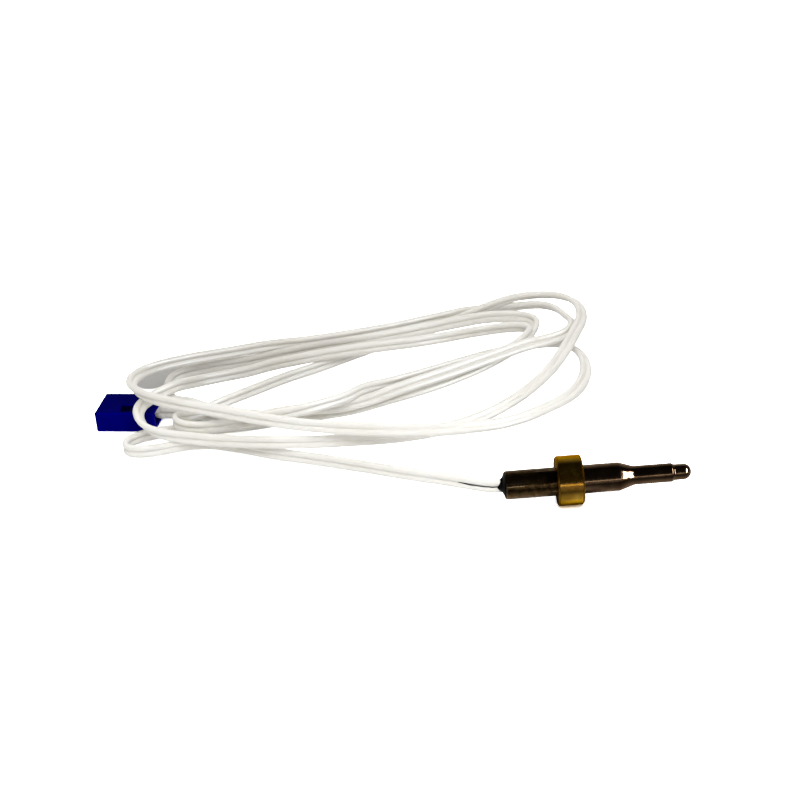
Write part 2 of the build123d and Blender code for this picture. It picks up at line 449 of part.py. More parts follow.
def crimp_cylinder(radius, overrun, w):
    plane = Plane(origin=at(CRIMP_L - overrun, w, 0), z_dir=L_DIR)
    return Solid.make_cylinder(radius, CRIMP_LENGTH + 2 * overrun, plane)


def plug_terminals():
    terminals = []
    for side in SIDES:
        w = side * CAVITY_OFFSET
        crimp = crimp_cylinder(CRIMP_R, 0, w) - crimp_cylinder(CRIMP_BORE_R, 0.5, w)
        web = block(8.3, 9.3, w - 0.45, w + 0.45, -CRIMP_R, -0.30)
        socket = mid_block(SOCKET_L0, SOCKET_L1, SOCKET_HALF_W, SOCKET_HALF_H, w)
        socket = socket - mid_block(SOCKET_L0 + SOCKET_WALL, SOCKET_L1 + OVERCUT,
                                    SOCKET_HALF_W - SOCKET_WALL, SOCKET_HALF_H - SOCKET_WALL, w)
        terminals.append(crimp + web + socket)
    return Compound(children=terminals)


# ---------------------------------------------------------------- cable pieces
def save_lead(name, side):
    points, tans = lead_path(side)
    save(jacket(points, tans), "lead_jacket_" + name)
    start = Vector(CONDUCTOR_END_X, 0, side * CORE_OFFSET)
    conductor = rod([start] + points, CONDUCTOR_R, [Vector(-1, 0, 0)] + tans)
    save(conductor, "lead_conductor_" + name)


def save_coil(name, side):
    points = core_points(COIL_ROUTE, side)
    tans = tangents(points)
    save(jacket(points, tans), "coil_jacket_" + name)
    save(rod(points, CONDUCTOR_R, tans), "coil_conductor_" + name)


def save_tail(name, side):
    points = core_points(TAIL_ROUTE, side)
    tans = tangents(points)[:-1] + [L_DIR] * 3
    w = -side * CAVITY_OFFSET
    points += [at(REAR_POCKET + 0.7, w, 0), at(REAR_POCKET + 1.7, w, 0)]
    save(jacket(points, tans), "tail_jacket_" + name)
    conductor = rod(points + [at(TAIL_END_L, w, 0)], CONDUCTOR_R, tans + [L_DIR])
    save(conductor, "tail_conductor_" + name)


# ---------------------------------------------------------------- output
os.makedirs("parts", exist_ok=True)
for make_part in (
    sheath_tube, brass_collar, element_leads, element_glass_bead, ceramic_insulator, tip_fill,
    potting_plug, plug_housing, terminal_retainer, plug_terminals,
):
    save(make_part(), make_part.__name__)
save(chip_box(CHIP_LENGTH), "sensing_element")
save(pipe_pair(FERRULE_X0, FERRULE_X1, FERRULE_R, FERRULE_BORE_R), "splice_ferrules")
save(pipe_pair(SLEEVE_X0, SLEEVE_X1, SLEEVE_R, SLEEVE_BORE_R), "splice_sleeves")
save(pipe(LINER_X0, LINER_X1, LINER_R, LINER_BORE_R), "barrel_liner")
for core, core_side in CORES:
    save_lead(core, core_side)
    save_coil(core, core_side)
    save_tail(core, core_side)
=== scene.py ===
import json
import math

import bmesh
import bpy
import numpy as np
from mathutils import Matrix, Vector
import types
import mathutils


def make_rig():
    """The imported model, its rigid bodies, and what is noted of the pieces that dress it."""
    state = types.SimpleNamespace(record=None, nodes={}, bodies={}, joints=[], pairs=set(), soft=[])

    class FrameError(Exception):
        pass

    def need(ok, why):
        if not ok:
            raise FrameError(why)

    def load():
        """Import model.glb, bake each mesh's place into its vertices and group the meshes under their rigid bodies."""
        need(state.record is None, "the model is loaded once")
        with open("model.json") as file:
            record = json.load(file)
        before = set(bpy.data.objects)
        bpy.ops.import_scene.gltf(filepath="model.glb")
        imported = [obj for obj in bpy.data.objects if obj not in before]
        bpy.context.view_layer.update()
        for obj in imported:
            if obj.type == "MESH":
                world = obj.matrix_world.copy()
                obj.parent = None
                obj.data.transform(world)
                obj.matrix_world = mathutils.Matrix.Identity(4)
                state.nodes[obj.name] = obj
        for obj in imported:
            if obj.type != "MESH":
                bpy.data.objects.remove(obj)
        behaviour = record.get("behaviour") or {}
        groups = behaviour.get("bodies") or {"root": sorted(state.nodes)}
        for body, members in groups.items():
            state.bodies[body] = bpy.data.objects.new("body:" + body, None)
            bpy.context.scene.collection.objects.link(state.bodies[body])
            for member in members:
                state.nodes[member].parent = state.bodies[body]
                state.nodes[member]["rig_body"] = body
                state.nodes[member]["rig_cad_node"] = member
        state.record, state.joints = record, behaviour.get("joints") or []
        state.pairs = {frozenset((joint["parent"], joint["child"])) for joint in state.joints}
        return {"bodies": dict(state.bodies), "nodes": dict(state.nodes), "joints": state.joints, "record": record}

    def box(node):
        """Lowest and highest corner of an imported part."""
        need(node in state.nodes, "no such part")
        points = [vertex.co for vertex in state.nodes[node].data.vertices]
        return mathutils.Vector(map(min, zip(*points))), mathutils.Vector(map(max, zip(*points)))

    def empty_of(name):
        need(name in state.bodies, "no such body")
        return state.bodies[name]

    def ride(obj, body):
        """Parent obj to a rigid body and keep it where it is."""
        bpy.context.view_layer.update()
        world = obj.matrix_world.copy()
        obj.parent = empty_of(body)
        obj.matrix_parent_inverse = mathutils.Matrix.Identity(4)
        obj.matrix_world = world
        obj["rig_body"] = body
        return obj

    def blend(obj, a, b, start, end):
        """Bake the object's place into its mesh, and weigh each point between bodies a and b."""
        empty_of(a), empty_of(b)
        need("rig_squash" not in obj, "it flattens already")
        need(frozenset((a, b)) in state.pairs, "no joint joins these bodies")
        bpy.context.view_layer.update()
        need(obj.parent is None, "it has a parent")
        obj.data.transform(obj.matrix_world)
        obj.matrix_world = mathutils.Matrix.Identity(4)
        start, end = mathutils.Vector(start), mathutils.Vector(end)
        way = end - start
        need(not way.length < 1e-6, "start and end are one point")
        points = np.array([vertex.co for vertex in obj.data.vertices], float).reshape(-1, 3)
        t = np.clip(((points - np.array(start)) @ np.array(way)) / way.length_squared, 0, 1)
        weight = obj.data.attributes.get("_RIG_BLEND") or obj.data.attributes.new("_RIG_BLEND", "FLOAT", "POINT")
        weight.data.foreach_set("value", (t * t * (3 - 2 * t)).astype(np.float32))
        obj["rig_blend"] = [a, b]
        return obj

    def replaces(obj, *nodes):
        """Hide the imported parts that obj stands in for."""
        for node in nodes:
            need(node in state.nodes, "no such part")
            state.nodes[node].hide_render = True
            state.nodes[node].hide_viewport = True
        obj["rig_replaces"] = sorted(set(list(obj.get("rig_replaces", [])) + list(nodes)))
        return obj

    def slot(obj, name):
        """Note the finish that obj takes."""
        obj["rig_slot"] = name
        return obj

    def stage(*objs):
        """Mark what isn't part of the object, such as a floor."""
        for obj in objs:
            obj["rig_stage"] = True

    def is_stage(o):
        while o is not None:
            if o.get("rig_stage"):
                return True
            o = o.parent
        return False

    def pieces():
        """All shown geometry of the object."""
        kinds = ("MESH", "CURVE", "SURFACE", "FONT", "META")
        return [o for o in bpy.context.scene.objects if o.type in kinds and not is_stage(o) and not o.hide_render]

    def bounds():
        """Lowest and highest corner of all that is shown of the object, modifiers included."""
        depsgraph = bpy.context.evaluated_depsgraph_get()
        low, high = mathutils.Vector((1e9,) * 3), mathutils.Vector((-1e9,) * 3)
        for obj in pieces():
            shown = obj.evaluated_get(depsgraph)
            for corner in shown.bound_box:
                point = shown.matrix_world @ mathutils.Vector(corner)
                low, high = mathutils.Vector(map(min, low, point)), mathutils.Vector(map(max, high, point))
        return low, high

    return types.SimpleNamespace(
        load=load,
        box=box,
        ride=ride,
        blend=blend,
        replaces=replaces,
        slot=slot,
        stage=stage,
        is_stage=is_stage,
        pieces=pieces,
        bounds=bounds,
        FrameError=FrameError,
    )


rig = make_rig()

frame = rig.load()
CAD_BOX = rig.bounds()
NODES = frame["nodes"]
MM = 0.001

CORE_RADIUS = 0.745  # each of the two cores of the cable, mm
CORE_OFFSET = 0.76  # core centre from the cable centreline, mm
GROOVE_HEIGHT = 0.27  # half thickness of the web between the cores, mm
BARREL_REAR = -16.0  # x of the barrel's rear edge, mm
PIVOT_LEAD = np.array(frame["joints"][0]["pos_m"]) / MM
PIVOT_PLUG = np.array(frame["joints"][1]["pos_m"]) / MM
LEAD_BLEND = 7.5  # half length of cable that bends at the lead pivot, mm
PLUG_BLEND = 5.5  # the same at the plug pivot, mm
FLOOR_Z = -0.00527

# Cable route from probe to plug, mm: centreline x, y, z, then the unit vector to core A
ROUTE = np.array([
    [-14.2, 0, 0, 0, 0, 1], [-15.489, -0.031, 0.001, -0.047, 0.01, 0.999],
    [-16.732, 0.032, -0.023, -0.051, 0.013, 0.999], [-17.998, 0.069, -0.014, -0.058, 0.018, 0.998],
    [-18.713, 0.246, -0.063, -0.062, 0.022, 0.998], [-19.384, 0.569, -0.161, -0.065, 0.026, 0.998],
    [-20.905, 1.431, -0.333, -0.069, 0.034, 0.997], [-22.611, 2.465, -0.474, -0.071, 0.041, 0.997],
    [-24.293, 3.533, -0.636, -0.073, 0.046, 0.996], [-26.586, 5.031, -0.881, -0.078, 0.051, 0.996],
    [-37.164, 12.028, -2.187, -0.078, 0.051, 0.996],
    [-46.417, 17.913, -3.028, -0.044, 0.026, 0.999],
    [-54.601, 22.202, -3.327, -0.02, 0.009, 1], [-65.346, 26.955, -3.371, 0.013, -0.006, 1],
    [-75.192, 31.247, -3.003, 0.052, -0.018, 0.998],
    [-79.751, 32.517, -2.692, 0.036, -0.006, 0.999],
    [-84.984, 32.821, -2.657, -0.037, 0, 0.999], [-92.95, 32.538, -3.318, -0.06, 0.004, 0.998],
    [-96.922, 32.913, -3.479, -0.005, 0.002, 1], [-98.311, 33.477, -3.433, 0.015, -0.013, 1],
    [-99.054, 34.155, -3.391, 0.019, -0.031, 0.999],
    [-99.411, 34.818, -3.362, 0.014, -0.043, 0.999],
    [-99.544, 35.564, -3.333, 0.002, -0.05, 0.999], [-99.442, 36.313, -3.294, -0.01, -0.05, 0.999],
    [-99.128, 36.999, -3.249, -0.019, -0.043, 0.999],
    [-98.466, 37.747, -3.195, -0.023, -0.03, 0.999],
    [-96.788, 38.834, -3.13, -0.013, -0.009, 1], [-93.043, 40.221, -3.164, 0.017, 0.005, 1],
    [-86.646, 41.308, -3.379, 0.028, 0.003, 1], [-78.405, 41.404, -3.578, 0.006, 0.001, 1],
    [-69.668, 41.193, -3.266, -0.083, 0.005, 0.997], [-60.72, 41.544, -2.394, -0.05, 0.019, 0.999],
    [-53.014, 42.294, -2.479, 0.013, 0.065, 0.998],
    [-48.129, 43.309, -2.505, -0.068, 0.092, 0.993],
    [-38.566, 46.156, -1.87, -0.11, 0.217, 0.97], [-30.586, 49.041, -1.486, -0.198, 0.325, 0.925],
    [-22.15, 52.79, -0.937, -0.27, 0.419, 0.867], [-14.232, 56.925, 0.128, -0.372, 0.406, 0.835],
    [-8.383, 60.56, 1.332, -0.444, 0.305, 0.842], [-5.133, 63.539, 2.199, -0.451, 0.193, 0.872],
    [-3.854, 65.375, 2.373, -0.446, 0.106, 0.889], [-3.283, 67.029, 2.365, -0.437, 0.009, 0.899],
    [-3.28, 67.78, 2.34, -0.428, -0.038, 0.903], [-3.557, 68.747, 2.295, -0.409, -0.102, 0.907],
    [-4.109, 69.583, 2.235, -0.382, -0.159, 0.91], [-5.273, 70.513, 2.076, -0.336, -0.221, 0.916],
    [-8.204, 71.828, 1.61, -0.251, -0.275, 0.928], [-13.02, 72.914, 0.869, -0.154, -0.27, 0.95],
    [-17.986, 73.047, 0.385, -0.044, -0.232, 0.972], [-22.9, 72.181, 0.25, 0.047, -0.166, 0.985],
    [-32.246, 69.448, 0.718, 0.075, -0.069, 0.995], [-42.469, 67.135, 1.309, 0.05, -0.021, 0.998],
    [-52.781, 65.176, 1.497, -0.022, -0.011, 1], [-60.957, 64.278, 0.934, -0.081, -0.01, 0.997],
    [-66.888, 63.61, 0.409, -0.092, -0.019, 0.996], [-72.166, 62.156, -0.012, -0.008, -0.003, 1],
    [-78.681, 59.64, 0.353, 0.087, 0.042, 0.995], [-82.994, 57.201, 0.97, 0.147, 0.113, 0.983],
    [-84.919, 55.35, 1.594, 0.163, 0.162, 0.973], [-88.457, 51.068, 3.06, 0.091, 0.095, 0.991],
    [-90.986, 48.665, 3.194, 0, 0, 1], [-94.244, 45.962, 2.873, -0.046, -0.059, 0.997],
    [-95.541, 44.136, 2.713, -0.044, -0.094, 0.995],
    [-96.231, 42.004, 2.556, -0.024, -0.154, 0.988],
    [-96.328, 40.276, 2.313, 0.018, -0.206, 0.978], [-95.978, 38.624, 1.863, 0.078, -0.229, 0.97],
    [-95.097, 36.954, 1.213, 0.132, -0.201, 0.971], [-93.596, 35.383, 0.643, 0.135, -0.128, 0.983],
    [-91.123, 33.728, 0.301, 0.077, -0.048, 0.996], [-84.079, 30.507, 0.217, -0.004, 0.002, 1],
    [-75.553, 27.643, 0.341, -0.019, 0.008, 1], [-64.862, 25.065, 0.512, 0.002, 0.02, 1],
    [-56.713, 23.822, 0.524, 0.004, 0.07, 0.998], [-48.471, 23.647, 0.414, 0.035, 0.188, 0.982],
    [-39.78, 24.456, -0.136, -0.003, 0.405, 0.914], [-30.74, 26.331, -0.623, -0.144, 0.652, 0.745],
    [-24.095, 28.504, -0.811, -0.318, 0.761, 0.565],
    [-17.635, 31.775, -0.584, -0.491, 0.779, 0.389],
    [-11.985, 35.879, -0.23, -0.632, 0.727, 0.269], [-5.672, 41.887, 0.514, -0.735, 0.648, 0.199],
    [-0.896, 47.925, 1.347, -0.819, 0.54, 0.196], [2.972, 54.266, 2.342, -0.875, 0.424, 0.234],
    [6.951, 62.222, 3.691, -0.869, 0.365, 0.333], [8.864, 66.809, 4.152, -0.884, 0.226, 0.408],
    [9.686, 71.22, 4.359, -0.877, 0.033, 0.48], [9.49, 75.459, 4.463, -0.812, -0.211, 0.544],
    [8.772, 77.586, 4.513, -0.734, -0.36, 0.576], [7.277, 79.886, 4.574, -0.597, -0.519, 0.612],
    [5.233, 81.716, 4.591, -0.44, -0.625, 0.644], [2.771, 82.925, 4.494, -0.289, -0.68, 0.673],
    [-0.633, 83.696, 4.316, -0.132, -0.694, 0.708], [-5.369, 83.673, 4.089, -0.039, -0.661, 0.75],
    [-10.975, 82.967, 3.073, -0.092, -0.607, 0.789], [-19.713, 81.162, 0.642, -0.119, -0.47, 0.875],
    [-27.622, 79.475, -0.952, -0.066, -0.303, 0.951],
    [-34.594, 77.649, -1.693, -0.012, -0.177, 0.984],
    [-39.35, 75.468, -1.954, 0.007, -0.106, 0.994], [-47.539, 70.662, -2.064, 0.038, -0.011, 0.999],
    [-55.533, 65.093, -1.8, 0.026, 0.011, 1], [-63.54, 59.555, -1.292, 0.044, 0.031, 0.999],
    [-70.534, 53.91, -0.899, 0.029, 0.024, 0.999], [-78.833, 47.09, -0.503, 0.003, 0.002, 1],
    [-83.452, 43.677, -0.727, 0.047, 0.036, 0.998], [-86.341, 41.783, -0.223, 0.097, 0.118, 0.988],
    [-87.417, 40.807, 0.182, 0.063, 0.138, 0.988], [-87.866, 39.949, 0.413, 0.024, 0.123, 0.992],
    [-87.967, 39.204, 0.512, -0.003, 0.092, 0.996], [-87.865, 38.451, 0.536, -0.013, 0.052, 0.999],
    [-87.571, 37.756, 0.491, -0.007, 0.014, 1], [-86.916, 37.013, 0.359, 0.015, -0.017, 1],
    [-86.072, 36.482, 0.226, 0.033, -0.025, 0.999], [-83.458, 35.664, 0.036, 0.029, -0.008, 1],
    [-78.982, 35.274, 0.1, -0.027, 0.001, 1], [-72.52, 35.802, 0.445, -0.071, -0.008, 0.997],
    [-65.486, 37.459, 0.956, -0.011, 0.008, 1], [-57.004, 39.513, 0.401, 0.087, 0.058, 0.995],
    [-48.34, 41.746, -0.543, 0.004, 0.106, 0.994], [-42.872, 43.483, -0.29, -0.146, 0.129, 0.981],
    [-35.432, 46.251, 0.66, -0.175, 0.246, 0.953], [-25.11, 50.689, 1.196, -0.234, 0.413, 0.88],
    [-14.259, 55.779, 1.776, -0.284, 0.526, 0.801], [-5.055, 59.624, 2.47, -0.264, 0.589, 0.764],
    [2.066, 61.964, 2.645, -0.324, 0.579, 0.748], [4.529, 63.164, 2.827, -0.471, 0.477, 0.742],
    [5.801, 64.34, 3.049, -0.573, 0.355, 0.739], [6.669, 65.846, 3.241, -0.644, 0.204, 0.737],
    [7.006, 67.304, 3.333, -0.672, 0.079, 0.736], [6.887, 69.299, 3.365, -0.676, -0.052, 0.735],
    [5.92, 72.395, 3.231, -0.658, -0.169, 0.733], [4.255, 77.099, 3.074, -0.607, -0.301, 0.735],
    [2.57, 79.567, 2.914, -0.543, -0.399, 0.739], [0.298, 81.49, 2.591, -0.472, -0.474, 0.744],
    [-3.626, 83.503, 1.732, -0.363, -0.538, 0.761], [-7.868, 84.773, 0.986, -0.197, -0.57, 0.798],
    [-12.586, 85.218, 0.797, -0.025, -0.541, 0.841], [-18.059, 84.753, 0.829, 0.079, -0.45, 0.89],
    [-24.282, 82.906, 0.737, 0.106, -0.322, 0.941], [-35.302, 78.835, 0.909, 0.074, -0.129, 0.989],
    [-46.208, 75.218, 1.355, 0.057, -0.027, 0.998], [-57.962, 71.839, 2.031, 0.069, 0.011, 0.998],
    [-68.065, 69.126, 2.928, 0.08, 0.024, 0.997], [-76.917, 65.758, 3.629, 0.08, 0.032, 0.996],
    [-86.47, 61.533, 4.664, 0.086, 0.044, 0.995], [-92.691, 57.88, 5.319, 0.06, 0.045, 0.997],
    [-96.264, 54.779, 5.618, 0.029, 0.037, 0.999], [-97.811, 52.515, 5.71, 0.012, 0.028, 1],
    [-98.45, 50.625, 5.752, 0.003, 0.021, 1], [-98.459, 49.124, 5.763, -0.001, 0.015, 1],
    [-97.848, 46.704, 5.794, -0.002, 0.005, 1], [-96.491, 44.319, 5.812, 0.005, -0.007, 1],
    [-94.058, 41.814, 5.723, 0.016, -0.014, 1], [-88.229, 37.953, 5.608, 0.005, -0.003, 1],
    [-78.557, 32.72, 5.647, -0.008, 0.005, 1], [-69.048, 27.712, 5.66, 0.011, 0.004, 1],
    [-61.357, 24.109, 5.608, 0.024, 0.027, 0.999], [-53.987, 21.742, 5.367, 0.068, 0.084, 0.994],
    [-45.428, 19.993, 4.957, 0.085, 0.243, 0.966], [-37.232, 19.277, 4.413, 0.09, 0.476, 0.875],
    [-29.542, 19.578, 3.548, 0.006, 0.705, 0.709], [-22.454, 20.855, 2.772, -0.148, 0.841, 0.521],
    [-14.846, 23.136, 1.852, -0.322, 0.881, 0.346], [-10.196, 25.52, 1.434, -0.485, 0.83, 0.276],
    [-3.419, 30.616, 0.928, -0.617, 0.748, 0.245], [1.266, 35.091, 0.508, -0.72, 0.634, 0.283],
    [4.272, 39.373, 0.184, -0.81, 0.474, 0.345], [6.482, 44.665, -0.086, -0.853, 0.289, 0.435],
    [7.803, 50.507, -0.185, -0.839, 0.1, 0.535], [7.945, 55.245, -0.15, -0.79, -0.094, 0.606],
    [7.204, 58.912, -0.077, -0.7, -0.292, 0.652], [5.973, 61.365, -0.017, -0.578, -0.45, 0.68],
    [4.619, 62.831, 0.044, -0.465, -0.545, 0.698], [2.696, 63.991, 0.032, -0.339, -0.613, 0.714],
    [-0.394, 64.943, -0.236, -0.168, -0.66, 0.733], [-3.372, 65.108, -0.494, -0.001, -0.663, 0.749],
    [-7.049, 64.408, -0.477, 0.165, -0.621, 0.766], [-14.065, 61.794, -0.186, 0.269, -0.536, 0.8],
    [-23.153, 57.073, 0.172, 0.27, -0.424, 0.864], [-32.887, 51.456, 0.654, 0.227, -0.256, 0.94],
    [-39.804, 47.051, 1.492, 0.239, -0.089, 0.967], [-44.392, 43.746, 2.497, 0.156, -0.042, 0.987],
    [-48.877, 39.765, 2.599, 0.079, -0.028, 0.996], [-53.784, 36.358, 3.075, 0.073, 0.003, 0.997],
    [-58.758, 34.041, 3.312, 0.004, -0.015, 1], [-63.34, 32.836, 3.115, -0.016, -0.009, 1],
    [-67.079, 32.716, 3.097, 0.022, -0.005, 1], [-70.731, 33.507, 3.309, 0.032, -0.012, 0.999],
    [-75.466, 35.755, 3.405, -0.013, 0.006, 1], [-80.553, 38.913, 3.156, -0.053, 0.042, 0.998],
    [-83.961, 42.183, 2.75, -0.119, 0.132, 0.984], [-86.622, 45.601, 1.554, -0.151, 0.221, 0.964],
    [-89.494, 50.611, -0.041, -0.076, 0.166, 0.983],
    [-90.812, 53.812, -0.516, -0.021, 0.074, 0.997],
    [-91.436, 56.744, -0.544, 0.001, -0.013, 1], [-91.526, 58.989, -0.434, -0.012, -0.063, 0.998],
    [-91.21, 60.445, -0.29, -0.032, -0.074, 0.997], [-90.461, 61.729, -0.088, -0.047, -0.063, 0.997],
    [-89.348, 62.722, 0.057, -0.045, -0.041, 0.998], [-86.259, 64.356, 0.124, -0.01, -0.005, 1],
    [-80.538, 66.136, 0.029, 0.004, 0.001, 1], [-72.872, 67.222, 0.102, -0.036, -0.004, 0.999],
    [-64.484, 68.416, 0.722, -0.067, -0.01, 0.998], [-54.396, 70.18, 1.08, -0.003, 0.006, 1],
    [-44.086, 72.15, 0.977, 0.007, 0.028, 1], [-32.21, 75.15, 0.868, -0.026, 0.083, 0.996],
    [-20.58, 78.102, 1.029, -0.067, 0.19, 0.98], [-13.685, 79.245, 1.252, -0.027, 0.285, 0.958],
    [-8.448, 79.05, 1.21, 0.07, 0.348, 0.935], [-4.564, 78.117, 1.179, 0.25, 0.33, 0.91],
    [-2.571, 77.092, 0.999, 0.424, 0.186, 0.886], [-1.851, 76.413, 0.845, 0.486, 0.061, 0.872],
    [-1.488, 75.768, 0.675, 0.508, -0.051, 0.86], [-1.34, 75.063, 0.465, 0.502, -0.163, 0.85],
    [-1.522, 73.886, 0.07, 0.443, -0.317, 0.838], [-2.279, 72.145, -0.544, 0.323, -0.447, 0.834],
    [-3.371, 70.852, -0.985, 0.251, -0.489, 0.835], [-5.564, 69.269, -1.458, 0.204, -0.51, 0.836],
    [-13.274, 65.19, -2.133, 0.2, -0.519, 0.831], [-21.979, 61.436, -2.684, 0.134, -0.481, 0.867],
    [-33.104, 56.988, -3.336, 0.103, -0.316, 0.943], [-41.938, 52.872, -3.46, 0.067, -0.166, 0.984],
    [-50.524, 48.82, -3.556, 0.032, -0.066, 0.997], [-58.611, 46.217, -3.451, -0.004, -0.028, 1],
    [-65.441, 44.725, -3.692, -0.017, -0.011, 1], [-71.928, 44.474, -3.694, -0.001, -0.003, 1],
    [-76.373, 45.113, -3.699, 0.022, -0.006, 1], [-80.155, 46.41, -3.647, 0.09, -0.032, 0.995],
    [-82.181, 47.24, -3.135, 0.105, -0.037, 0.994], [-85.204, 48.332, -2.748, 0.064, -0.017, 0.998],
    [-87.424, 48.7, -2.75, 0.027, -0.005, 1], [-89.155, 48.951, -2.766, 0.011, -0.002, 1],
    [-91.129, 49.277, -2.754, 0.004, -0.001, 1], [-92.855, 49.564, -2.749, 0.003, 0, 1],
])


# ---------------------------------------------------------------- node helpers
class Nodes:
    """Adds nodes to a tree; a socket given as a value is linked, anything else is set."""

    def __init__(self, tree):
        self.tree = tree
        tree.nodes.clear()

    def put(self, node, key, value):
        socket = node.inputs[key]
        if isinstance(value, bpy.types.NodeSocket):
            self.tree.links.new(value, socket)
        elif socket.type == "RGBA" and len(value) == 3:
            socket.default_value = (*value, 1)
        else:
            socket.default_value = value

    def node(self, kind, inputs=None, **settings):
        node = self.tree.nodes.new(kind)
        for name, value in settings.items():
            setattr(node, name, value)
        for key, value in (inputs or {}).items():
            self.put(node, key, value)
        return node

    def ramp(self, value, stops):
        """Colour ramp; a stop's colour is an RGB tuple or one grey level."""
        node = self.node("ShaderNodeValToRGB", {"Fac": value})
        elements = node.color_ramp.elements
        while len(elements) < len(stops):
            elements.new(0.5)
        for element, (position, colour) in zip(elements, stops):
            rgb = colour if isinstance(colour, tuple) else (colour,) * 3
            element.position = position
            element.color = (*rgb, 1)
        return node.outputs["Color"]

    def math(self, operation, a, b=0.0, c=0.0, clamp=False):
        inputs = {0: a, 1: b, 2: c}
        return self.node("ShaderNodeMath", inputs, operation=operation, use_clamp=clamp).outputs[0]

    def times(self, a, b):
        return self.math("MULTIPLY", a, b)

    def scaled(self, value, factor, offset):
        """value * factor + offset"""
        return self.math("MULTIPLY_ADD", value, factor, offset)

    def inverse(self, value):
        return self.math("SUBTRACT", 1.0, value)

    def fade(self, operation, a, b, span):
        """The sum or difference of a and b, run from 0 to 1 over the span."""
        return self.math("MULTIPLY", self.math(operation, a, b), 1 / span, clamp=True)

    def split(self, source):
        return self.node("ShaderNodeSeparateXYZ", {0: source}).outputs[:3]

    def mix_shader(self, factor, first, second):
        node = self.node("ShaderNodeMixShader", {0: factor, 1: first, 2: second})
        return node.outputs[0]


class Look(Nodes):
    """A material with a principled surface and the patterns the pieces share."""

    def __init__(self, name):
        self.material = bpy.data.materials.new(name)
        self.material.use_nodes = True
        super().__init__(self.material.node_tree)
        self.output = self.node("ShaderNodeOutputMaterial")
        self.principled = self.node("ShaderNodeBsdfPrincipled")
        self.put(self.output, 0, self.principled.outputs[0])
        self.coord = self.node("ShaderNodeTexCoord")

    def surface(self, inputs):
        for name, value in inputs.items():
            self.put(self.principled, name, value)

    def place(self):
        return self.coord.outputs["Object"]

    def stretched(self, scale, source=None):
        inputs = {"Vector": source or self.place(), "Scale": scale}
        return self.node("ShaderNodeMapping", inputs).outputs[0]

    def noise(self, scale, detail=4.0, rough=0.55, source=None):
        inputs = {"Vector": source or self.place(), "Scale": scale}
        inputs.update({"Detail": detail, "Roughness": rough})
        return self.node("ShaderNodeTexNoise", inputs).outputs["Fac"]

    def turned_lines(self, scale, distortion, detail, detail_scale=1.0):
        """Tool lines round the X axis."""
        inputs = {"Vector": self.place(), "Scale": scale, "Distortion": distortion}
        inputs.update({"Detail": detail, "Detail Scale": detail_scale})
        return self.node("ShaderNodeTexWave", inputs, bands_direction="X").outputs["Fac"]

    def mix(self, factor, a, b, mode="MIX"):
        inputs = {0: factor, 6: a, 7: b}
        return self.node("ShaderNodeMix", inputs, data_type="RGBA", blend_type=mode).outputs[2]

    def bump(self, height, strength, distance, normal=None):
        inputs = {"Height": height, "Strength": strength, "Distance": distance}
        if normal is not None:
            inputs["Normal"] = normal
        return self.node("ShaderNodeBump", inputs).outputs[0]

    def geometry(self, output):
        return self.node("ShaderNodeNewGeometry").outputs[output]

    def edges(self, start, end):
        """1 on convex edges, 0 on flats."""
        return self.ramp(self.geometry("Pointiness"), [(start, 0), (end, 1)])


def give(obj, material):
    obj.data.materials.clear()
    obj.data.materials.append(material)


# ---------------------------------------------------------------- materials
def sheath_material():
    look = Look("burnished_sheath")
    x, _, _ = look.split(look.place())
    long_axis = look.stretched(scale=(250, 1500, 1500))
    blotch = look.noise(scale=420.0, detail=5.0, rough=0.6)
    fine = look.noise(scale=5200.0, detail=3.0, rough=0.6)
    streak = look.noise(scale=1.0, detail=4.0, rough=0.6, source=long_axis)
    base = look.ramp(blotch, [
        (0.30, (0.070, 0.036, 0.020)), (0.52, (0.128, 0.074, 0.042)), (0.72, (0.190, 0.120, 0.066)),
    ])
    base = look.mix(look.times(streak, 0.25), base, (0.20, 0.13, 0.065))
    # heat tint: the barrel behind x = -5.4 mm is duller, browner and mottled
    rear = look.math("LESS_THAN", x, -0.0054)
    base = look.mix(look.times(rear, 0.78), base, (0.062, 0.036, 0.010))
    mottle = look.noise(scale=950.0, detail=5.0, rough=0.7)
    mottle = look.ramp(mottle, [(0.38, 0.12), (0.64, 1.6)])
    base = look.mix(look.times(rear, 0.75), base, look.mix(1.0, base, mottle, "MULTIPLY"))
    lines = look.turned_lines(scale=2600.0, distortion=1.5, detail=2.0)
    # axial scratches, stronger on the rear barrel
    scratch_axis = look.stretched(scale=(90, 5200, 5200))
    scratch = look.noise(scale=1.0, detail=2.0, rough=0.4, source=scratch_axis)
    scratch = look.ramp(scratch, [(0.66, 0), (0.70, 1)])
    amount = look.scaled(rear, factor=0.75, offset=0.20)
    base = look.mix(look.times(scratch, amount), base, (0.36, 0.27, 0.16))
    # painted highlight: convex edges and rims lighter
    base = look.mix(look.times(look.edges(0.53, 0.60), 0.7), base, (0.50, 0.42, 0.30))
    rough = look.scaled(blotch, factor=0.10, offset=0.07)
    rough = look.scaled(rear, factor=0.075, offset=rough)
    rough = look.scaled(fine, factor=0.03, offset=rough)
    height = look.scaled(lines, factor=0.18, offset=look.times(fine, 0.25))
    height = look.scaled(streak, factor=0.5, offset=height)
    # the swaged cone, 3.5 mm long, runs out softly into both diameters
    turn = look.fade("SUBTRACT", x, 0.00756, span=0.0035)
    ease = look.math("SINE", look.times(turn, 2 * math.pi))
    soft = look.bump(look.times(ease, 0.0501), strength=1.0, distance=0.001)
    # the rear end is hammered and picked a little where it was crimped
    pick = look.times(look.noise(scale=1300.0, detail=4.0, rough=0.65), rear)
    soft = look.bump(pick, strength=0.34, distance=0.00016, normal=soft)
    look.surface({
        "Base Color": base, "Metallic": 1.0, "Roughness": rough,
        "Normal": look.bump(height, strength=0.06, distance=0.00005, normal=soft),
        "Specular Tint": (0.88, 0.80, 0.72),
    })
    return look.material


